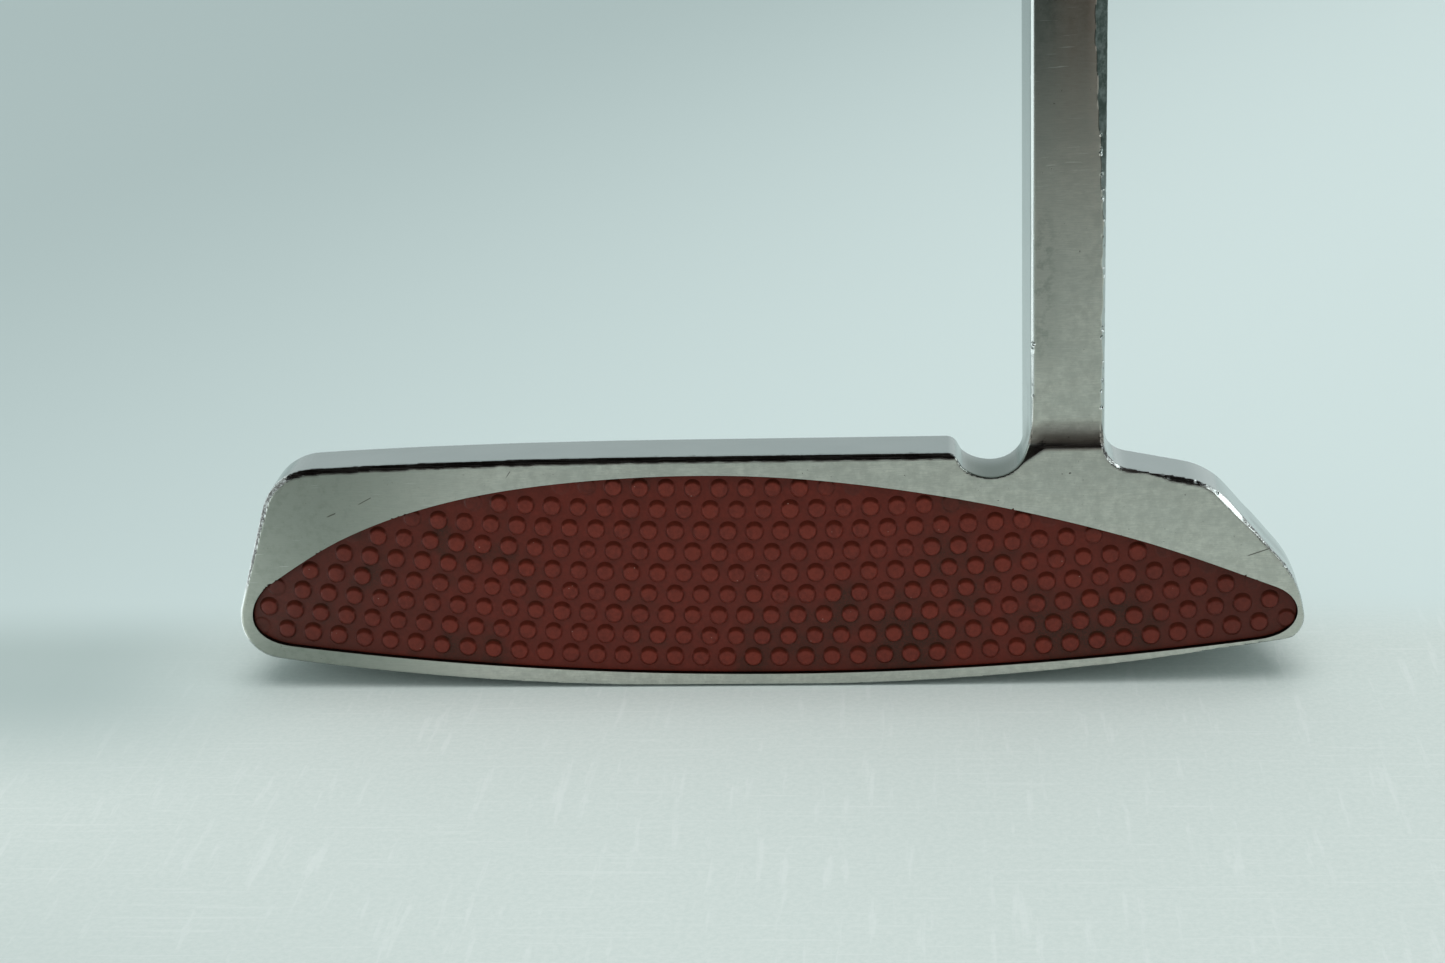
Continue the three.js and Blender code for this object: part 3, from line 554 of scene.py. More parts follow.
def head_distance(p):
    """Signed distance to the head, negative inside the steel."""
    x, y, z = p.T
    back = y + ORIGIN_DEPTH
    depth = behind_face(y, z)
    head = either(blade_distance(x, y, z), back_distance(x, back, z), 1.6)
    fillet = 0.02 + 0.6 * smoothstep(0.8, 3, y - NECK_Y + NECK_DEPTH / 2)
    head = either(head, neck_distance(x, y, z), fillet)
    head = both(head, sole_distance(x, back, z), 0.25)
    head = both(head, TOE_LIMIT - x, 0.2)
    pocket = np.maximum(POCKET(x, z), depth - POCKET_DEPTH)
    head = both(head, -pocket, 0.06)
    away, height = along_shaft(x, y, z)
    bore_radius = BORE_RADIUS + 0.5 * smoothstep(-0.6, 0.1, height)
    bore = np.maximum(away - bore_radius, -BORE_DEPTH - height)
    head = both(head, -bore, 0.2)
    for at in NICKS:
        near = (np.abs(x - at[0]) < 2) & (np.abs(z - at[2]) < 2) & (y < 4)
        if near.any():
            dent = nick(x[near], y[near], z[near], at[:3], *at[3:])
            head[near] = both(head[near], -dent, 0.12)
    return head


# ------------------------------------------------------------------ meshes


def key_of(cells):
    """One number for each integer cell, of which there are fewer than 4096 along each axis."""
    return (cells[:, 0] * 4096 + cells[:, 1]) * 4096 + cells[:, 2]


CUBE = np.array([(i, j, k) for i in (0, 1) for j in (0, 1) for k in (0, 1)])


def surface_of(distance, low, high, cell, halvings=4):
    """Vertices and quads of a distance field's zero surface, by surface nets on the cells that it
    crosses. The cells are found by halving the coarse ones that lie near the surface."""
    low = np.array(low, float)
    size = cell * 2**halvings
    shape = np.ceil((np.array(high) - low) / size).astype(int)
    cells = np.stack(np.meshgrid(*[np.arange(n) for n in shape], indexing="ij"), -1).reshape(-1, 3)
    for _ in range(halvings):
        middle = low + (cells + 0.5) * size
        cells = cells[np.abs(distance(middle)) < size * 1.15]
        cells = (cells[:, None] * 2 + CUBE).reshape(-1, 3)
        size /= 2
    cells = cells[np.abs(distance(low + (cells + 0.5) * size)) < size * 1.3]
    corners = (cells[:, None] + CUBE).reshape(-1, 3)
    _, first, place = np.unique(key_of(corners), return_index=True, return_inverse=True)
    values = distance(low + corners[first] * size)
    inside = (values < 0)[place].reshape(-1, 8)
    at_corners = values[place].reshape(-1, 8)
    crossed = inside.any(1) & ~inside.all(1)
    cells, inside, at_corners = cells[crossed], inside[crossed], at_corners[crossed]
    total = np.zeros((len(cells), 3))
    count = np.zeros(len(cells))
    for a in range(8):
        for b in range(a + 1, 8):
            if np.abs(CUBE[a] - CUBE[b]).sum() != 1:
                continue
            cut = inside[:, a] != inside[:, b]
            fall = np.where(cut, at_corners[:, a] - at_corners[:, b], 1)
            share = np.where(cut, at_corners[:, a] / fall, 0)[:, None]
            total += cut[:, None] * (CUBE[a] * (1 - share) + CUBE[b] * share)
            count += cut
    vertices = low + (cells + total / count[:, None]) * size
    order = np.argsort(key_of(cells))
    sorted_keys = key_of(cells)[order]
    step = np.eye(3, dtype=int)
    quads = []
    for axis in range(3):
        one, two = step[(axis + 1) % 3], step[(axis + 2) % 3]
        end = int(np.where((CUBE == step[axis]).all(1))[0][0])
        cut = inside[:, 0] != inside[:, end]
        found = []
        for shift in (0 * one, one, one + two, two):
            group = cells[cut] - shift
            spot = np.searchsorted(sorted_keys, key_of(group))
            spot = np.clip(spot, 0, len(order) - 1)
            assert (sorted_keys[spot] == key_of(group)).all(), "a gap in the surface"
            found.append(order[spot])
        quad = np.stack(found, 1)
        flip = ~inside[cut, 0]
        quad[flip] = quad[flip][:, ::-1]
        quads.append(quad)
    return vertices, np.concatenate(quads)


def gradient_of(distance, points, reach=0.02):
    """Unit outward direction of a distance field at points."""
    slope = np.stack(
        [distance(points + reach * axis) - distance(points - reach * axis) for axis in np.eye(3)], 1
    )
    return slope / np.maximum(np.linalg.norm(slope, axis=1, keepdims=True), 1e-9)


def settle(distance, points, rounds=3):
    """Moves points onto the zero surface."""
    for _ in range(rounds):
        points = points - gradient_of(distance, points) * distance(points)[:, None]
    return points


def new_object(name, vertices, faces):
    """A mesh object from points in millimetres."""
    mesh = bpy.data.meshes.new(name)
    mesh.from_pydata((np.asarray(vertices) * MM).tolist(), [], [list(map(int, f)) for f in faces])
    mesh.shade_smooth()
    made = bpy.data.objects.new(name, mesh)
    bpy.context.scene.collection.objects.link(made)
    return made


def apply_modifiers(made):
    """Replaces the mesh with what its modifiers make of it."""
    shown = made.evaluated_get(bpy.context.evaluated_depsgraph_get())
    mesh = bpy.data.meshes.new_from_object(shown)
    made.modifiers.clear()
    made.data = mesh


def points_of(made):
    """The vertices of an object in millimetres."""
    points = np.empty(len(made.data.vertices) * 3)
    made.data.vertices.foreach_get("co", points)
    return points.reshape(-1, 3) / MM


def shift_across_pocket(x, z, distance):
    """Moves points towards the inside of the pocket, square to its outline."""
    reach = 0.05
    slope_x = (POCKET(x + reach, z) - POCKET(x - reach, z)) / (2 * reach)
    slope_z = (POCKET(x, z + reach) - POCKET(x, z - reach)) / (2 * reach)
    return x - distance * slope_x, z - distance * slope_z


def onto_pocket_edge(points):
    """Moves the points beside the sharp edge of the pocket onto that edge."""
    reach = 0.17
    x, y, z = points.T
    near = (np.abs(POCKET(x, z)) < reach) & (np.abs(behind_face(y, z)) < reach)
    x, z = x[near], z[near]
    for _ in range(3):
        x, z = shift_across_pocket(x, z, POCKET(x, z))
    moved = points.copy()
    moved[near] = np.stack([x, z * math.tan(LOFT) - ORIGIN_DEPTH, z], 1)
    return moved


def object_from_distance(name, distance, low, high, cell, most_faces):
    """A thinned mesh of a distance field, shaded by the field's own slope. On the pocket's sharp edge,
    the face's side takes the face's direction and the pocket's side its own."""
    vertices, quads = surface_of(distance, low, high, cell)
    made = new_object(name, onto_pocket_edge(settle(distance, vertices)), quads)
    thin = made.modifiers.new("thin", "DECIMATE")
    thin.ratio = min(1, most_faces / (2 * len(quads)))
    apply_modifiers(made)
    points = points_of(made)
    x, y, z = points.T
    on_edge = (np.abs(POCKET(x, z)) < 0.1) & (np.abs(behind_face(y, z)) < 0.1)
    face_normal = np.array([0, -math.cos(LOFT), math.sin(LOFT)])
    normals = gradient_of(distance, points)
    normals[on_edge] = face_normal
    polygons = made.data.polygons
    own = np.empty(len(polygons) * 3)
    polygons.foreach_get("normal", own)
    sizes = np.empty(len(polygons), int)
    polygons.foreach_get("loop_total", sizes)
    own = np.repeat(own.reshape(-1, 3), sizes, axis=0)
    vertex = np.empty(len(made.data.loops), int)
    made.data.loops.foreach_get("vertex_index", vertex)
    in_pocket = on_edge[vertex] & (own @ face_normal < 0.8)
    shading = np.where(in_pocket[:, None], own, normals[vertex])
    made.data.normals_split_custom_set(shading.tolist())
    return made


def ring_faces(size, count, closed_along=False):
    """Faces through rings of points, capped at both ends unless the rings close on themselves."""
    faces = []
    for r in range(count if closed_along else count - 1):
        here, there = r * size, (r + 1) % count * size
        for i in range(size):
            j = (i + 1) % size
            faces.append((here + i, here + j, there + j, there + i))
    if not closed_along:
        faces.append(tuple(range(size))[::-1])
        faces.append(tuple((count - 1) * size + i for i in range(size)))
    return faces


def closed_object(name, rings):
    """A mesh through rings of equal length, the last joined to the first."""
    faces = ring_faces(len(rings[0]), len(rings), closed_along=True)
    return new_object(name, np.concatenate(rings), faces)


def sharpen(made, degrees):
    """Keeps edges sharper than an angle crisp in the smooth shading."""
    made.data.set_sharp_from_angle(angle=math.radians(degrees))
    return made


def on_shaft(points):
    """Moves points from the shaft's own axes, with Z along it, to their place."""
    x, y, z = np.asarray(points, float).T
    turned = np.stack(
        [x * math.cos(LEAN) + z * math.sin(LEAN), y, z * math.cos(LEAN) - x * math.sin(LEAN)], 1
    )
    return turned + HOSEL_MOUTH


def turned_on_shaft(name, profile, segments=96):
    """A body of revolution about the shaft's axis, from a closed profile of (radius, height)."""
    angles = np.linspace(0, 2 * math.pi, segments, endpoint=False)
    rings = []
    for angle in angles:
        ring = [(radius * math.cos(angle), radius * math.sin(angle), height) for radius, height in profile]
        rings.append(on_shaft(ring))
    return closed_object(name, rings)


def on_face(x, z, depth):
    """Points at a depth behind the face plane."""
    return np.stack([x, depth - ORIGIN_DEPTH + z * math.tan(LOFT), z + 0 * x], -1)


# ------------------------------------------------------------------ pieces


def make_head():
    """The casting, with its worn edges."""
    low, high = (-60, -14, -2), (68, 18, 126)
    cell = 0.25
    most_faces = 190000
    head = object_from_distance("head", head_distance, low, high, cell, most_faces)
    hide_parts("head_casting")
    return head


def stud_centres():
    """Centres of the studs, and how far each is from the insert's edge."""
    x, z = [], []
    for row in range(STUD_ROWS + 1):
        for n in range(-25, 26):
            at = STUD_START + row * ROW_SHIFT + n * STUD_PITCH
            x.append(at)
            z.append(INSERT_LOW_Z + FIRST_ROW + row * ROW_PITCH + row_rise(at))
    x, z = np.array(x), np.array(z)
    margin = -POCKET(x, z) - POCKET_GAP
    kept = margin > -0.1
    return x[kept], z[kept], margin[kept]


def pull_in(x, z, gap):
    """Moves points that stand closer to the pocket's wall than a gap back inside it."""
    for _ in range(2):
        x, z = shift_across_pocket(x, z, np.maximum(POCKET(x, z) + gap, 0))
    return x, z


# Shares of a stud's radius and height, from near the middle of its crown to below its foot.
STUD_PROFILE = [
    (0.4, 0.995),
    (0.62, 0.98),
    (0.76, 0.945),
    (0.86, 0.88),
    (0.93, 0.77),
    (0.98, 0.58),
    (1.02, 0.36),
    (1.07, 0.18),
    (1.14, 0.06),
    (1.26, -0.05),
]


def stud_rings(at_x, at_z, margin, rng):
    """The crown's middle and the rings of one stud, which is lower where it is near the border."""
    rise = STUD_HEIGHT * (0.15 + 0.85 * smoothstep(0.55, 1.1, margin)) * rng.uniform(0.85, 1)
    radius = STUD_RADIUS * rng.uniform(0.96, 1.03)
    tilt = rng.normal(0, 0.02, 2)
    angles = np.linspace(0, 2 * math.pi, STUD_SEGMENTS, endpoint=False)
    rings = [on_face(np.array([at_x]), np.array([at_z]), INSERT_RECESS - rise)]
    for share, height in STUD_PROFILE:
        x = at_x + radius * share * np.cos(angles)
        z = at_z + radius * share * np.sin(angles)
        lean = (np.cos(angles) * tilt[0] + np.sin(angles) * tilt[1]) * share * height
        x, z = pull_in(x, z, POCKET_GAP + 0.03)
        rings.append(on_face(x, z, np.maximum(INSERT_RECESS - rise * height + lean, 0.02)))
    return rings


def stud_faces(crown):
    """The faces of one stud, from the number of its crown's middle point."""
    faces = []
    for i in range(STUD_SEGMENTS):
        j = (i + 1) % STUD_SEGMENTS
        faces.append((crown, crown + 1 + i, crown + 1 + j))
        for r in range(len(STUD_PROFILE) - 1):
            low = crown + 1 + r * STUD_SEGMENTS
            high = low + STUD_SEGMENTS
            faces.append((low + i, high + i, high + j, low + j))
    return faces


def make_insert():
    """The moulded plate with its raised round studs."""
    x, z = pocket_outline().T
    rings = []
    edge = 0.12
    for angle in np.linspace(0, math.pi / 2, 5):
        inner = pull_in(x, z, POCKET_GAP + edge * (1 - math.sin(angle)))
        rings.append(on_face(*inner, INSERT_RECESS + edge * (1 - math.cos(angle))))
    rings.append(on_face(*pull_in(x, z, POCKET_GAP), INSERT_RECESS + INSERT_BASE))
    faces = ring_faces(len(x), len(rings))

    rng = np.random.default_rng(5)
    crown = len(x) * len(rings)
    for centre in zip(*stud_centres()):
        rings += stud_rings(*centre, rng)
        faces += stud_faces(crown)
        crown += 1 + len(STUD_PROFILE) * STUD_SEGMENTS
    insert = sharpen(new_object("insert", np.concatenate(rings), faces), 60)
    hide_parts("face_insert")
    return insert


def shaft_profile():
    """The stepped tube's outside, from tip to butt."""
    growth = (SHAFT_BUTT_RADIUS - SHAFT_TIP_RADIUS) / SHAFT_STEPS
    outside = [(SHAFT_TIP_RADIUS, GLUE_FLOOR - BORE_DEPTH)]
    for i in range(SHAFT_STEPS):
        height = FIRST_STEP + i * STEP_PITCH
        radius = SHAFT_TIP_RADIUS + i * growth
        for share in np.linspace(0, 1, 7):
            rise = growth * smoothstep(0, 1, share)
            outside.append((radius + rise, height + STEP_TAPER * share))
    outside.append((SHAFT_BUTT_RADIUS, BUTT_HEIGHT - CAP_THICKNESS))
    return outside


def make_shaft():
    """The stepped steel tube, open at both ends."""
    outside = shaft_profile()
    inside = [(radius - SHAFT_WALL, height) for radius, height in outside[::-1]]
    shaft = sharpen(turned_on_shaft("shaft_tube", outside + inside), 40)
    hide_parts("shaft")
    return shaft


def make_ferrule():
    """The collar over the hosel's mouth, with a ring groove and a swept top."""
    inner = SHAFT_TIP_RADIUS + 0.05
    low = HOSEL_RADIUS - 0.7
    profile = [(inner, 0.1), (low - 0.15, 0.1), (low, 0.25), (low, 2.1), (low - 0.1, 2.25)]
    profile += [(low - 0.3, 2.45), (low - 0.3, 3.0), (low - 0.1, 3.2), (low - 0.02, 3.4)]
    for share in np.linspace(0.15, 1, 9):
        profile.append((low - (low - inner - 0.3) * share**1.6, 3.4 + (FERRULE_LENGTH - 3.5) * share))
    profile.append((inner, FERRULE_LENGTH))
    ferrule = sharpen(turned_on_shaft("collar", profile), 50)
    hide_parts("ferrule")
    return ferrule


# Share of the grip's length, width across the flat, reach of the flat and of the back.
GRIP_STATIONS = np.array(
    [
        [0, 18.6, 9.2, 9.4],
        [0.02, 19.4, 9.6, 9.8],
        [0.25, 20.4, 10, 10.8],
        [0.5, 21.8, 10.4, 12.2],
        [0.68, 22.8, 10.8, 13.4],
        [0.78, 23.6, 11, 15.2],
        [0.87, 24.4, 11.3, 18],
        [0.94, 24.8, 11.5, 19],
        [1, 24.4, 11.4, 17.8],
    ]
)
GRIP_EDGE = 4.2
GRIP_SKIN = 0.12  # how much slimmer the grip and cap are than in the CAD model, all round


def grip_section(share, inset=0):
    """A cross-section of the grip: flat towards -X with round corners, a half ellipse towards +X."""
    width, flat, back = (np.interp(share, GRIP_STATIONS[:, 0], GRIP_STATIONS[:, i]) for i in (1, 2, 3))
    half = width / 2 - GRIP_SKIN - inset
    flat -= GRIP_SKIN + inset
    back -= GRIP_SKIN + inset
    edge = GRIP_EDGE - inset
    low = arc((-flat + edge, -half + edge), edge, -math.pi, -math.pi / 2, 10)
    angles = np.linspace(-math.pi / 2, math.pi / 2, 37)
    belly = np.stack([back * np.cos(angles), half * np.sin(angles)], 1)
    high = arc((-flat + edge, half - edge), edge, math.pi / 2, math.pi, 10)
    side_low = np.linspace(low[-1], belly[0], 5)[1:-1]
    side_high = np.linspace(belly[-1], high[0], 5)[1:-1]
    front = np.linspace(high[-1], low[0], 14)[1:-1]
    return np.concatenate([low, side_low, belly, side_high, high, front])


def at_height(section, height):
    """A section of the grip at a height along the shaft."""
    return on_shaft(np.column_stack([section, np.full(len(section), height)]))


def make_grip():
    """The rubber sleeve, with a rolled mouth and an open bore."""
    bottom = BUTT_HEIGHT - GRIP_LENGTH
    length = GRIP_LENGTH - CAP_THICKNESS
    bore = SHAFT_BUTT_RADIUS + 0.45
    lip = 0.9
    rings = []
    for angle in np.linspace(0, math.pi / 2, 7):
        inset = lip * (1 - math.sin(angle))
        height = bottom + lip * (1 - math.cos(angle))
        rings.append(at_height(grip_section(0, inset), height))
    for share in np.linspace(0.01, 0.9975, 170):
        rings.append(at_height(grip_section(share), bottom + share * length))
    rings.append(at_height(grip_section(1, 0.3), bottom + length))
    around = grip_section(0)
    angle = np.arctan2(around[:, 1], around[:, 0])
    hole = bore * np.column_stack([np.cos(angle), np.sin(angle)])
    rings.append(at_height(hole, bottom + length))
    rings.append(at_height(hole, bottom + 0.4))
    rings.append(at_height(hole * 1.04, bottom))
    grip = sharpen(closed_object("grip", rings), 45)
    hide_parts("grip_sleeve")
    return grip


def make_cap():
    """The butt cap: a domed plate with a vent hole and a spigot inside the shaft."""
    top = BUTT_HEIGHT - GRIP_SKIN
    seat = BUTT_HEIGHT - CAP_THICKNESS + 0.1
    vent = 1.6
    dome = 1.9
    recess_radius = 6.2
    recess_depth = 0.45
    spigot = SHAFT_BUTT_RADIUS - SHAFT_WALL - 0.05
    spigot_length = 6
    around = grip_section(1)
    angle = np.arctan2(around[:, 1], around[:, 0])
    unit = np.column_stack([np.cos(angle), np.sin(angle)])
    rings = [at_height(spigot * unit, seat - spigot_length), at_height(spigot * unit, seat)]
    rings.append(at_height(grip_section(1, 0.35), seat))
    rings.append(at_height(grip_section(1, 0.05), seat + 0.3))
    rings.append(at_height(grip_section(1, 0.05), top - dome))
    for turn in np.linspace(0.2, math.pi / 2, 7):
        inset = 0.05 + 1.75 * (1 - math.cos(turn))
        rings.append(at_height(grip_section(1, inset), top - dome + dome * math.sin(turn)))
    rings.append(at_height(grip_section(1, 3.2), top))
    rings.append(at_height(unit * recess_radius, top))
    rings.append(at_height(unit * (recess_radius - 0.4), top - recess_depth))
    rings.append(at_height(unit * (vent + 0.4), top - recess_depth))
    rings.append(at_height(unit * vent, top - 0.8))
    rings.append(at_height(unit * vent, seat - spigot_length))
    cap = sharpen(closed_object("butt_cap", rings), 35)
    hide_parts("grip_cap")
    return cap


# ------------------------------------------------------------------ materials


class Shader:
    """A material's node tree, built by short calls."""

    def __init__(self, name):
        self.material = bpy.data.materials.new(name)
        self.material.use_nodes = True
        self.nodes = self.material.node_tree.nodes
        self.links = self.material.node_tree.links
        self.nodes.clear()
        self.surface = self.nodes.new("ShaderNodeBsdfPrincipled")
        output = self.nodes.new("ShaderNodeOutputMaterial")
        self.links.new(self.surface.outputs[0], output.inputs[0])
        place = self.nodes.new("ShaderNodeTexCoord")
        scaled = self.nodes.new("ShaderNodeVectorMath")
        scaled.operation = "SCALE"
        scaled.inputs["Scale"].default_value = 1 / MM
        self.links.new(place.outputs["Object"], scaled.inputs[0])
        self.place = scaled.outputs[0]
        split = self.nodes.new("ShaderNodeSeparateXYZ")
        self.links.new(self.place, split.inputs[0])
        self.x, self.y, self.z = split.outputs

    def put(self, socket, value):
        """Links a node's output to a socket, or sets the socket to a plain value."""
        if isinstance(value, bpy.types.NodeSocket):
            self.links.new(value, socket)
        else:
            socket.default_value = value

    def set(self, **values):
        """Sets the surface's own inputs, with underscores for spaces."""
        for name, value in values.items():
            self.put(self.surface.inputs[name.replace("_", " ")], value)

    def math(self, operation, *values, clamp=False):
        """One sum or function of values."""
        node = self.nodes.new("ShaderNodeMath")
        node.operation = operation
        node.use_clamp = clamp
        for socket, value in zip(node.inputs, values):
            self.put(socket, value)
        return node.outputs[0]

    def ramp(self, value, low, high, to_low=0.0, to_high=1.0):
        """A smooth step of a value between two limits."""
        node = self.nodes.new("ShaderNodeMapRange")
        node.interpolation_type = "SMOOTHSTEP"
        for socket, given in zip(node.inputs, (value, low, high, to_low, to_high)):
            self.put(socket, given)
        return node.outputs[0]

    def mix(self, share, a, b):
        """A colour between two colours."""
        node = self.nodes.new("ShaderNodeMix")
        node.data_type = "RGBA"
        self.put(node.inputs[0], share)
        for socket, value in ((node.inputs[6], a), (node.inputs[7], b)):
            self.put(socket, (*value, 1) if isinstance(value, tuple) else value)
        return node.outputs[2]

    def stretched(self, *scale, turn=(0, 0, 0)):
        """The place in millimetres, scaled along each axis after a turn."""
        node = self.nodes.new("ShaderNodeMapping")
        self.links.new(self.place, node.inputs["Vector"])
        node.inputs["Scale"].default_value = scale
        node.inputs["Rotation"].default_value = turn
        return node.outputs[0]

    def noise(self, scale, detail, roughness=0.55, vector=None):
        """Cloudy noise about 0.5, by default over the place in millimetres."""
        node = self.nodes.new("ShaderNodeTexNoise")
        self.links.new(vector or self.place, node.inputs["Vector"])
        node.inputs["Scale"].default_value = scale
        node.inputs["Detail"].default_value = detail
        node.inputs["Roughness"].default_value = roughness
        return node.outputs[0]

    def streaks(self, *scale, **noise):
        """Noise drawn out along the axes with the smaller scales."""
        return self.noise(1.0, vector=self.stretched(*scale), **noise)

    def cells(self, scale):
        """Distance from the nearest of scattered points."""
        node = self.nodes.new("ShaderNodeTexVoronoi")
        self.links.new(self.place, node.inputs["Vector"])
        node.inputs["Scale"].default_value = scale
        return node.outputs["Distance"]

    def fold(self, operation, values):
        """Joins values one after another by an operation of two."""
        result = values[0]
        for value in values[1:]:
            result = self.math(operation, result, value)
        return result

    def plus(self, *values):
        return self.fold("ADD", values)

    def times(self, *values):
        return self.fold("MULTIPLY", values)

    def most(self, *values):
        return self.fold("MAXIMUM", values)

    def other(self, mask):
        """Where a mask isn't."""
        return self.math("SUBTRACT", 1.0, mask)

    def between(self, value, rise, full, fade, end):
        """A mask that rises from rise to full and falls again from fade to end."""
        return self.times(self.ramp(value, rise, full), self.ramp(value, end, fade))

    def bump(self, height, distance, strength):
        """Raises the shading by a height; the distance is in millimetres."""
        node = self.nodes.new("ShaderNodeBump")
        node.inputs["Strength"].default_value = strength
        node.inputs["Distance"].default_value = distance * MM
        self.links.new(height, node.inputs["Height"])
        self.links.new(node.outputs[0], self.surface.inputs["Normal"])

    def face_depth(self):
        """Distance behind the striking face, in millimetres."""
        return self.plus(self.y, ORIGIN_DEPTH, self.times(self.z, -math.tan(LOFT)))

    def facing(self, *direction, normal="True Normal"):
        """How far the surface faces a direction, as a cosine."""
        geometry = self.nodes.new("ShaderNodeNewGeometry")
        node = self.nodes.new("ShaderNodeVectorMath")
        node.operation = "DOT_PRODUCT"
        self.links.new(geometry.outputs[normal], node.inputs[0])
        node.inputs[1].default_value = direction
        return node.outputs["Value"]

    def line_across(self, start, stop, width):
        """One scratch between two points (x, z) of the face, as a mask."""
        slope = (stop[1] - start[1]) / (stop[0] - start[0])
        level = self.plus(self.times(self.x, -slope), start[0] * slope - start[1])
        off = self.math("ABSOLUTE", self.plus(self.z, level))
        span = self.between(self.x, start[0], start[0] + 0.4, stop[0] - 0.1, stop[0])
        return self.times(self.ramp(off, width, width * 0.4), span)

    def scratches(self, turn, level=0.72):
        """Thin straight scratches that run at an angle across the face, as a mask."""
        along = self.stretched(0.25, 1.0, 9.0, turn=(0, turn, 0))
        return self.ramp(self.noise(1.0, detail=1.5, vector=along), level, level + 0.035)


def head_steel():
    """Worn stainless steel: a ground, satin striking face and polished sides, with painted shade and
    painted reflections.
    """
    s = Shader("head steel")
    depth = s.face_depth()
    on_blade = s.ramp(s.z, 30.5, 29.5)
    ground = s.times(s.ramp(depth, 0.1, 0.02), on_blade)
    neck_face = NECK_Y - NECK_DEPTH / 2
    neck_front = s.times(
        s.ramp(s.y, neck_face + 0.12, neck_face + 0.04), s.ramp(s.z, NECK_FOOT_Z, NECK_FOOT_Z + 0.6)
    )
    satin = s.most(ground, neck_front)

    grain = s.streaks(0.3, 2.0, 5.0, detail=4)
    fine = s.streaks(0.8, 4.0, 12.0, detail=5, roughness=0.75)
    cloud = s.streaks(0.10, 0.2, 0.22, detail=4)
    streak = s.streaks(0.16, 5.0, 8.0, detail=5, roughness=0.65)
    blotch = s.noise(0.8, detail=6, roughness=0.7)
    marks = s.most(s.scratches(0.12), s.scratches(-0.5, level=0.745), s.scratches(1.2, level=0.75))
    pits = s.ramp(s.noise(2.6, detail=5, roughness=0.6), 0.66, 0.72)
    speck = s.times(pits, s.ramp(s.noise(0.3, detail=2), 0.42, 0.6))
    cuts = s.most(
        s.line_across((57.0, 15.0), (60.2, 16.1), 0.09),
        s.line_across((-24.9, 24.9), (-24.2, 25.9), 0.1),
        s.line_across((-45.6, 20.7), (-44.4, 21.2), 0.1),
        s.line_across((-41.9, 22.1), (-40.2, 23.0), 0.07),
    )

    bright = s.mix(cloud, (0.45, 0.48, 0.47), (0.54, 0.565, 0.555))
    dull = s.mix(s.ramp(blotch, 0.35, 0.68), (0.53, 0.53, 0.475), (0.69, 0.69, 0.62))
    dull = s.mix(s.times(s.ramp(cloud, 0.42, 0.65), 0.3), dull, (0.48, 0.50, 0.46))
    dull = s.mix(s.ramp(fine, 0.38, 0.66, 0.0, 0.5), dull, (0.42, 0.44, 0.40))
    # Painted shade: the satin face grows darker towards the toe, unevenly.
    uneven = s.ramp(blotch, 0.4, 0.7, -0.08, 0.08)
    toe = s.math("ADD", s.ramp(s.x, -24, -48, 0.0, 0.85), uneven, clamp=True)
    dull = s.mix(s.times(toe, s.ramp(s.x, -20, -30)), dull, (0.22, 0.245, 0.21))
    # Painted reflection: the neck's upper front takes the dark greenish brown of the room that it mirrors,
    # paler near its heel-side edge.
    upper_neck_reflection = s.math("ADD", s.ramp(s.z, 48, 84), s.ramp(blotch, 0.3, 0.7, -0.1, 0.1), clamp=True)
    dark_room_reflection = s.mix(s.ramp(s.x, 34.6, 38.0), (0.115, 0.135, 0.12), (0.20, 0.165, 0.135))
    dark_room_reflection = s.mix(s.ramp(s.x, 39.0, 40.6, 0.0, 0.8), dark_room_reflection, (0.40, 0.31, 0.26))
    dull = s.mix(s.times(upper_neck_reflection, s.ramp(s.z, 40, 50)), dull, dark_room_reflection)
    # Painted shade: brown darkening in the concave sweep at the neck's foot.
    foot = s.times(s.between(s.z, 27.2, 27.6, 28.2, 31.4), s.between(s.x, 30, 33, 42, 45))
    dull = s.mix(s.times(foot, 0.6), dull, (0.30, 0.24, 0.20))
    smudge = s.times(s.between(s.z, 34, 40, 50, 58), s.ramp(s.x, 37.5, 34.8), s.ramp(blotch, 0.42, 0.62))
    dull = s.mix(s.times(smudge, 0.55), dull, (0.24, 0.26, 0.23))
    colour = s.mix(satin, bright, dull)

    # Painted reflection: the bevel round the face, tilted up towards the dark room, is coloured near black
    # in streaks; it is left bright above the heel and beside the neck.
    bevel = s.times(s.between(s.facing(0, -1, 0), 0.45, 0.55, 0.85, 0.92), s.ramp(s.z, 11, 14), on_blade)
    polished = s.most(s.between(s.x, 53.2, 53.8, 56.2, 56.8), s.between(s.x, 42.5, 43, 45, 46))
    bevel = s.times(bevel, s.ramp(depth, 1.1, 0.9), s.other(polished))
    colour = s.mix(s.times(bevel, s.ramp(streak, 0.64, 0.42, 0.45, 1.0)), colour, (0.055, 0.052, 0.05))
    # Painted reflection: the upper part of the chamfer on the neck's heel side, which faces the room, is
    # coloured dark with bright gaps.
    dark_chamfer_reflection = s.times(s.ramp(s.facing(0.707, -0.707, 0), 0.9, 0.96), s.ramp(s.z, 46, 62))
    colour = s.mix(s.times(dark_chamfer_reflection, s.ramp(blotch, 0.65, 0.4, 0.8, 1.0)), colour, (0.055, 0.068, 0.06))
    # Painted shade: the steel in the notch is darker, most towards the front.
    notch = s.times(s.between(s.x, 24.5, 27, 33.5, 34.2), s.between(s.z, 20, 22, 27, 31))
    notch = s.times(notch, s.other(satin), s.ramp(depth, 8.0, 2.5))
    colour = s.mix(notch, colour, (0.21, 0.235, 0.21))
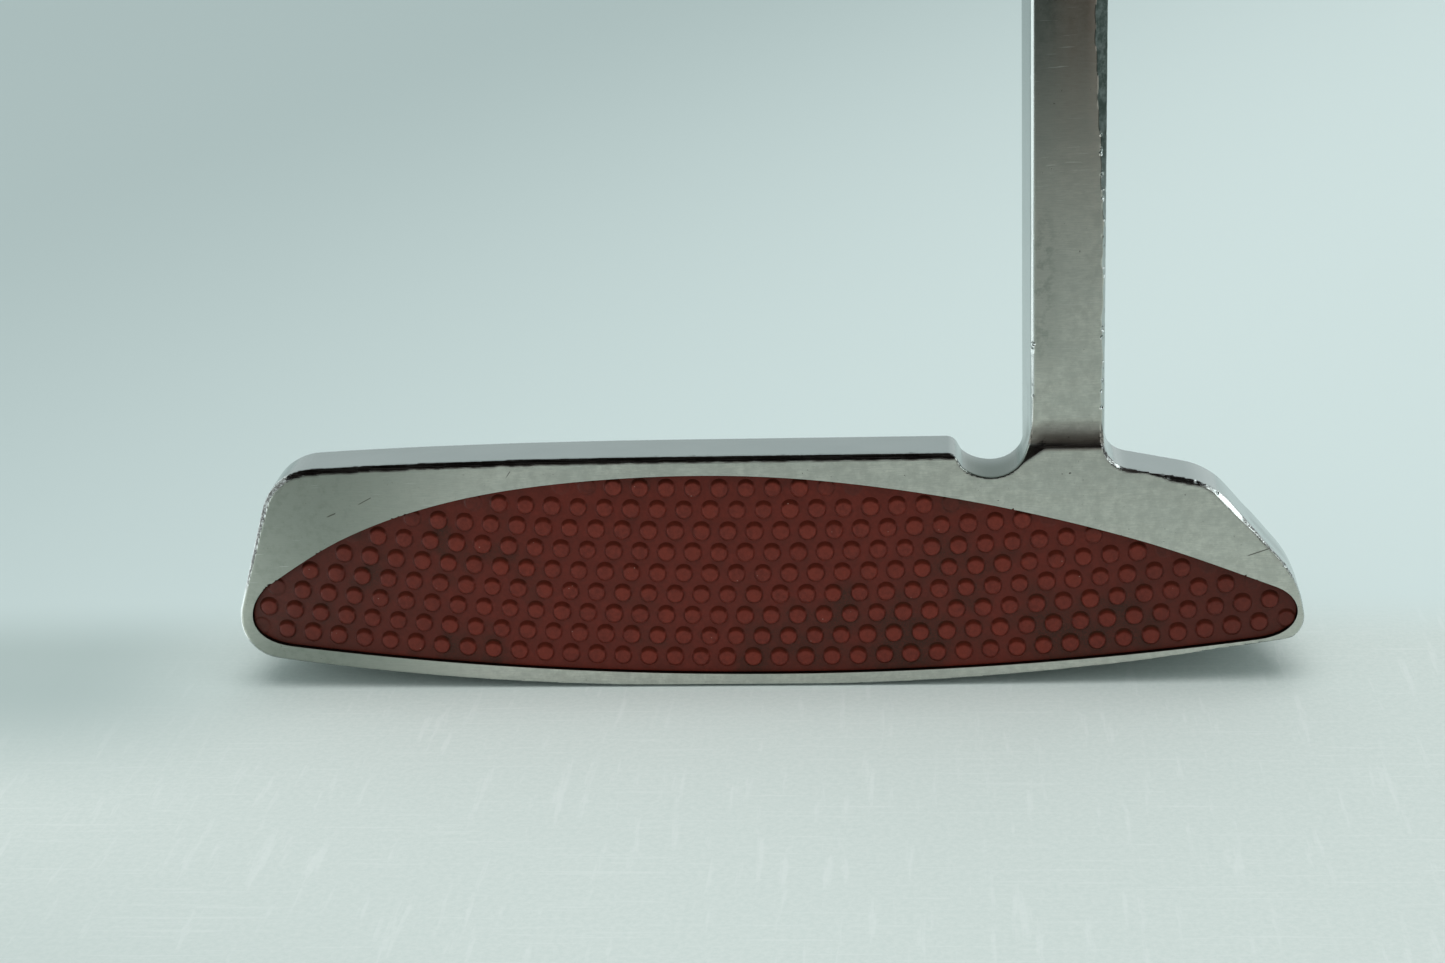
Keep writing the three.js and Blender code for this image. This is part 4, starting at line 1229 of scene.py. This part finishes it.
    # Painted shade: the pocket's lower wall and both end walls are coloured near black.
    low_wall = s.times(s.ramp(s.facing(0, 0, 1), 0.3, 0.5), s.ramp(s.z, 9, 8))
    heel_wall = s.times(s.ramp(s.facing(-1, 0, 0), 0.2, 0.5), s.ramp(s.x, 50, 52))
    toe_wall = s.times(s.ramp(s.facing(1, 0, 0), 0.2, 0.5), s.ramp(s.x, -45, -48))
    wall = s.times(s.most(low_wall, heel_wall, toe_wall), s.between(depth, 0.03, 0.08, 3.4, 3.6))
    colour = s.mix(wall, colour, (0.05, 0.04, 0.035))
    colour = s.mix(s.times(s.most(speck, cuts), satin, 0.85), colour, (0.07, 0.06, 0.05))
    colour = s.mix(s.times(marks, satin, 0.3), colour, (0.80, 0.81, 0.79))

    rough = s.plus(0.10, s.times(satin, 0.17), s.times(grain, 0.07), s.times(blotch, 0.08))
    rough = s.plus(rough, s.times(wall, 0.3))
    height = s.plus(s.times(grain, 0.6), s.times(fine, 0.7), s.times(marks, -0.6), s.times(speck, -1.5))
    height = s.plus(height, s.times(bevel, streak, 0.6))
    s.bump(s.times(height, s.plus(s.times(satin, 0.8), 0.2)), 0.012, 0.7)
    s.set(Base_Color=colour, Metallic=1.0, Roughness=rough)
    return s.material


def insert_polymer():
    """Dark red elastomer, paler on the studs, with grime in the valleys and painted shade on the studs'
    sides, darkest on their upper sides.
    """
    s = Shader("insert polymer")
    depth = s.face_depth()
    top = s.ramp(depth, 0.34, 0.12)
    cloud = s.noise(0.07, detail=4, roughness=0.6)
    mottle = s.noise(2.2, detail=6, roughness=0.75)
    patch = s.noise(0.32, detail=3)
    grit = s.noise(6.0, detail=4, roughness=0.7)
    valley = s.mix(s.ramp(mottle, 0.3, 0.7), (0.130, 0.017, 0.009), (0.176, 0.023, 0.013))
    stud = s.mix(s.ramp(mottle, 0.32, 0.68), (0.120, 0.016, 0.009), (0.197, 0.029, 0.017))
    stud = s.mix(s.ramp(patch, 0.35, 0.7, 0.0, 0.45), stud, (0.228, 0.029, 0.014))
    colour = s.mix(top, valley, stud)
    ends = s.ramp(s.math("ABSOLUTE", s.plus(s.x, -INSERT_MID_X)), 26.0, 60.0)
    grime = s.math("ADD", s.ramp(cloud, 0.47, 0.68), s.times(ends, 0.35), clamp=True)
    # Painted shade: the studs' sides are darkened unevenly, and their upward-facing sides more.
    wall = s.between(depth, 0.10, 0.26, 0.46, 0.53)
    upper = s.ramp(s.facing(0, -0.3, 0.95, normal="Normal"), 0.40, 0.72)
    uneven = s.ramp(s.noise(0.5, detail=4, roughness=0.65), 0.3, 0.65)
    shade = s.most(s.times(wall, uneven, 0.42), s.times(upper, 0.66))
    colour = s.mix(s.times(ends, 0.4), colour, (0.063, 0.013, 0.008))
    colour = s.mix(shade, colour, (0.038, 0.009, 0.005))
    low = s.ramp(depth, 0.2, 0.48)
    colour = s.mix(s.times(grime, low, s.ramp(grit, 0.2, 0.6), 0.75), colour, (0.025, 0.016, 0.009))
    fleck = s.times(s.ramp(s.cells(1.6), 0.13, 0.08), s.ramp(s.noise(0.9, detail=2), 0.60, 0.66))
    colour = s.mix(s.times(fleck, top, 0.6), colour, (0.432, 0.271, 0.226))
    s.set(Base_Color=colour, Roughness=s.plus(0.32, s.times(grit, 0.2), s.times(upper, 0.3)))
    s.set(Specular_IOR_Level=s.plus(0.24, s.times(upper, -0.2)))
    s.bump(s.plus(s.times(mottle, 0.8), s.times(grit, 0.4)), 0.06, 0.5)
    return s.material


def shaft_chrome():
    """Plated steel with faint polishing lines round it and a few hazy patches."""
    s = Shader("shaft chrome")
    haze = s.noise(0.05, detail=4)
    lines = s.noise(1.0, detail=3, vector=s.stretched(0.4, 0.4, 5.0, turn=(0, -LEAN, 0)))
    s.set(Base_Color=s.mix(haze, (0.60, 0.615, 0.62), (0.68, 0.69, 0.70)), Metallic=1.0)
    s.set(Roughness=s.plus(0.06, s.times(haze, 0.10), s.times(lines, 0.04)))
    s.bump(lines, 0.004, 0.4)
    return s.material


def black_plastic():
    """Turned and polished black plastic with fine scuffs."""
    s = Shader("black plastic")
    scuff = s.noise(1.2, detail=5, roughness=0.7)
    s.set(Base_Color=s.mix(scuff, (0.012, 0.012, 0.013), (0.028, 0.028, 0.030)))
    s.set(Roughness=s.ramp(scuff, 0.3, 0.75, 0.2, 0.42))
    s.bump(scuff, 0.02, 0.3)
    return s.material


def grip_rubber():
    """Moulded rubber: small round dimples in rows along the sleeve, shinier where hands rub it."""
    s = Shader("grip rubber")
    turned = s.stretched(1, 1, 1, turn=(0, -LEAN, 0))
    split = s.nodes.new("ShaderNodeSeparateXYZ")
    s.links.new(turned, split.inputs[0])
    spacing = 2.4
    waves = [s.math("SINE", s.times(axis, 2 * math.pi / spacing)) for axis in split.outputs]
    pattern = s.times(waves[2], s.most(waves[1], s.times(waves[0], 0.8)))
    dimple = s.ramp(pattern, 0.25, 0.6)
    wear = s.noise(0.035, detail=4)
    grit = s.noise(4.0, detail=4, roughness=0.7)
    worn = s.mix(s.ramp(wear, 0.4, 0.7), (0.018, 0.018, 0.019), (0.034, 0.033, 0.032))
    s.set(Base_Color=s.mix(s.times(dimple, 0.6), worn, (0.008, 0.008, 0.008)))
    s.set(Roughness=s.ramp(wear, 0.35, 0.7, 0.62, 0.48))
    s.set(Specular_IOR_Level=0.35)
    s.bump(s.plus(s.times(dimple, -1.0), s.times(grit, 0.25)), 0.25, 0.7)
    return s.material


def plain(name, dark, light, rough, scale=1.0):
    """A mottled matt surface for a small or hidden piece."""
    s = Shader(name)
    mottle = s.noise(scale, detail=5, roughness=0.65)
    s.set(Base_Color=s.mix(mottle, dark, light))
    s.set(Roughness=s.ramp(mottle, 0.2, 0.8, rough, rough + 0.12))
    s.bump(mottle, 0.05, 0.4)
    return s.material


def paint(target, material):
    """Gives an object one material."""
    target.data.materials.clear()
    target.data.materials.append(material)


# ------------------------------------------------------------------ floor, light and camera


def stage_plane(name, corners, material, only_mirrored=True):
    """A flat stage piece through four corners in millimetres, which may show only in reflections."""
    mesh = bpy.data.meshes.new(name)
    mesh.from_pydata((np.array(corners) * MM).tolist(), [], [(0, 1, 2, 3)])
    plane = bpy.data.objects.new(name, mesh)
    bpy.context.scene.collection.objects.link(plane)
    paint(plane, material)
    if only_mirrored:
        plane.visible_camera = False
        plane.visible_diffuse = False
        plane.visible_shadow = False
    return plane


def make_floor():
    """A pale table top with fine lines in the part where the head rests, painted shade towards the left
    and a painted shadow by the toe.
    """
    s = Shader("floor")
    streak = s.streaks(0.7, 0.07, 1.0, detail=5, roughness=0.6)
    across = s.streaks(0.05, 1.6, 1.0, detail=4, roughness=0.6)
    lines = s.most(s.ramp(streak, 0.56, 0.68), s.ramp(across, 0.56, 0.70))
    grit = s.noise(1.6, detail=5, roughness=0.7)
    away = s.math("SQRT", s.plus(s.times(s.x, s.x), s.times(s.y, s.y)))
    near = s.times(s.ramp(s.y, 16.0, -2.0), s.ramp(away, 320.0, 120.0))
    # Painted shade: the floor grows darker towards the left, fading out far off.
    to_the_left = s.ramp(s.plus(s.x, s.times(s.y, -0.4)), 50.0, -260.0)
    left_shade_share = s.times(to_the_left, s.ramp(away, 1400.0, 450.0))
    far = s.mix(left_shade_share, (0.745, 0.84, 0.83), (0.50, 0.585, 0.58))
    table = s.mix(s.ramp(grit, 0.3, 0.7), (0.70, 0.765, 0.735), (0.76, 0.815, 0.785))
    table = s.mix(s.times(lines, 0.35), table, (0.86, 0.90, 0.88))
    # Painted shadow: darker beside the toe, and more faintly in front of the head to the left.
    beside = s.times(s.ramp(s.x, -42.0, -80.0), s.ramp(s.y, -42.0, -10.0))
    before = s.times(s.ramp(s.x, 0.0, -120.0), s.ramp(s.y, -40.0, -90.0), 0.6)
    table = s.mix(s.most(beside, before), table, (0.50, 0.58, 0.565))
    s.set(Base_Color=s.mix(near, far, table), Roughness=0.75)
    s.set(Specular_IOR_Level=0.0)
    s.bump(s.times(s.plus(s.times(lines, 0.5), grit), near), 0.03, 0.4)
    half = 6000
    corners = [(-half, -half, 0), (half, -half, 0), (half, half, 0), (-half, half, 0)]
    floor = stage_plane("floor", corners, s.material, only_mirrored=False)


def make_flag():
    """A dark card beyond the front of the table, there only for what the steel reflects."""
    s = Shader("flag")
    cloth = s.noise(0.02, detail=3)
    dark = s.mix(cloth, (0.10, 0.085, 0.075), (0.13, 0.105, 0.095))
    s.set(Base_Color=s.mix(s.ramp(s.y, -110.0, -250.0), (0.60, 0.655, 0.630), dark), Roughness=0.9)
    corners = [(-1500, -1600, 0.6), (1500, -1600, 0.6), (1500, -110, 0.6), (-1500, -110, 0.6)]
    flag = stage_plane("flag", corners, s.material)


def make_card(name, corners, light):
    """A white card, there only for what the polished edges reflect."""
    s = Shader(name)
    weave = s.noise(0.05, detail=3)
    s.set(Base_Color=s.mix(weave, (0.7, 0.72, 0.72), (0.8, 0.82, 0.82)), Emission_Color=(0.93, 1, 1, 1))
    s.set(Emission_Strength=light)
    card = stage_plane(name, corners, s.material)


def make_world():
    """What surrounds the table: pale at the back and the sides, with a dark room in front and above. It
    lights the scene evenly, and its own view fades towards the horizon."""
    world = bpy.data.worlds.new("studio")
    world.use_nodes = True
    nodes, links = world.node_tree.nodes, world.node_tree.links
    nodes.clear()
    place = nodes.new("ShaderNodeTexCoord")
    split = nodes.new("ShaderNodeSeparateXYZ")
    links.new(place.outputs["Generated"], split.inputs[0])

    def step(value, low, high):
        node = nodes.new("ShaderNodeMapRange")
        node.interpolation_type = "SMOOTHSTEP"
        links.new(value, node.inputs[0])
        node.inputs[1].default_value = low
        node.inputs[2].default_value = high
        return node.outputs[0]

    def product(a, b):
        node = nodes.new("ShaderNodeMath")
        node.operation = "MULTIPLY"
        links.new(a, node.inputs[0])
        links.new(b, node.inputs[1])
        return node.outputs[0]

    def mix(share, first, second):
        node = nodes.new("ShaderNodeMix")
        node.data_type = "RGBA"
        links.new(share, node.inputs[0])
        for socket, colour in ((node.inputs[6], first), (node.inputs[7], second)):
            if isinstance(colour, tuple):
                socket.default_value = (*colour, 1)
            else:
                links.new(colour, socket)
        return node.outputs[2]

    east, north, up = split.outputs
    dark_room = product(step(north, 0.15, -0.15), step(up, 0.05, 0.3))
    sides = mix(step(east, 0.05, 0.6), (0.55, 0.63, 0.63), (0.80, 0.88, 0.88))
    mirrored = mix(dark_room, sides, (0.035, 0.029, 0.026))
    haze = mix(step(up, 0.0, 0.3), (0.345, 0.42, 0.41), (0.58, 0.67, 0.67))
    path = nodes.new("ShaderNodeLightPath")
    seen = mix(path.outputs["Is Camera Ray"], mirrored, haze)
    soft = mix(path.outputs["Is Diffuse Ray"], seen, (0.42, 0.475, 0.475))
    back = nodes.new("ShaderNodeBackground")
    links.new(soft, back.inputs[0])
    output = nodes.new("ShaderNodeOutputWorld")
    links.new(back.outputs[0], output.inputs[0])
    bpy.context.scene.world = world


def look_at(obj, target):
    """Turns a light towards a point."""
    direction = np.array(target, float) - np.array(obj.location)
    obj.rotation_mode = "QUATERNION"
    obj.rotation_quaternion = Vector(direction).to_track_quat("-Z", "Y")


def add_light(name, place, target, size, power):
    """A soft light that the steel does not mirror. Places and sizes are in millimetres."""
    data = bpy.data.lights.new(name, "AREA")
    data.shape = "RECTANGLE"
    data.size, data.size_y = (s * MM for s in size)
    data.energy = power
    light = bpy.data.objects.new(name, data)
    light.location = np.array(place) * MM
    look_at(light, np.array(target) * MM)
    light.visible_glossy = False
    bpy.context.scene.collection.objects.link(light)


def make_camera():
    """The main view: from in front, a little above and towards the heel."""
    elevation, turn, roll = math.radians(20.5), math.radians(5.3), math.radians(2.6)
    distance = 285.6
    target = np.array([-0.50, 1.49 - ORIGIN_DEPTH, 24.36])
    level = math.cos(elevation)
    back = np.array([math.sin(turn) * level, -math.cos(turn) * level, math.sin(elevation)])
    right = np.cross(-back, [0, 0, 1])
    right /= np.linalg.norm(right)
    up = np.cross(right, -back)
    rolled_right = right * math.cos(roll) - up * math.sin(roll)
    rolled_up = up * math.cos(roll) + right * math.sin(roll)
    data = bpy.data.cameras.new("camera")
    data.sensor_width = 36
    data.lens = 64.15
    data.clip_start = 0.01
    data.clip_end = 50
    camera = bpy.data.objects.new("camera", data)
    place = (target + distance * back) * MM
    matrix = np.eye(4)
    matrix[:3] = np.column_stack([rolled_right, rolled_up, back, place])
    camera.matrix_world = Matrix(matrix.tolist())
    bpy.context.scene.collection.objects.link(camera)
    bpy.context.scene.camera = camera


# ------------------------------------------------------------------ assembly

bpy.context.scene.view_settings.view_transform = "Standard"
make_camera()
make_world()
make_floor()
make_flag()
make_card("left card", [(-150, -120, 2), (-150, 100, 2), (-150, 100, 100), (-150, -120, 100)], 1.2)
make_card("low card", [(-165, -60, 0.7), (-62, -60, 0.7), (-62, 60, 0.7), (-165, 60, 0.7)], 1.2)
make_card("right card", [(560, -320, 190), (560, 0, 190), (420, 0, 480), (420, -320, 480)], 2.6)
add_light("overhead", (100, -150, 2000), (0, 0, 0), (1800, 1800), 22)

black = black_plastic()
for made, material in (
    (make_head(), head_steel()),
    (make_insert(), insert_polymer()),
    (make_shaft(), shaft_chrome()),
    (make_ferrule(), black),
    (make_grip(), grip_rubber()),
    (make_cap(), black),
):
    paint(made, material)
    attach(made, "root")

for node, material in {
    "insert_adhesive": plain("adhesive film", (0.50, 0.46, 0.33), (0.64, 0.60, 0.46), 0.6),
    "sight_line_enamel": plain("enamel", (0.008, 0.009, 0.010), (0.02, 0.021, 0.023), 0.2, 2.0),
    "shaft_epoxy": plain("epoxy", (0.42, 0.34, 0.18), (0.52, 0.44, 0.26), 0.3),
    "tip_plug": plain("cork", (0.30, 0.18, 0.09), (0.48, 0.32, 0.18), 0.8, 2.5),
    "grip_tape": plain("paper tape", (0.60, 0.56, 0.46), (0.74, 0.70, 0.60), 0.75),
}.items():
    paint(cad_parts[node], material)

bpy.context.view_layer.update()
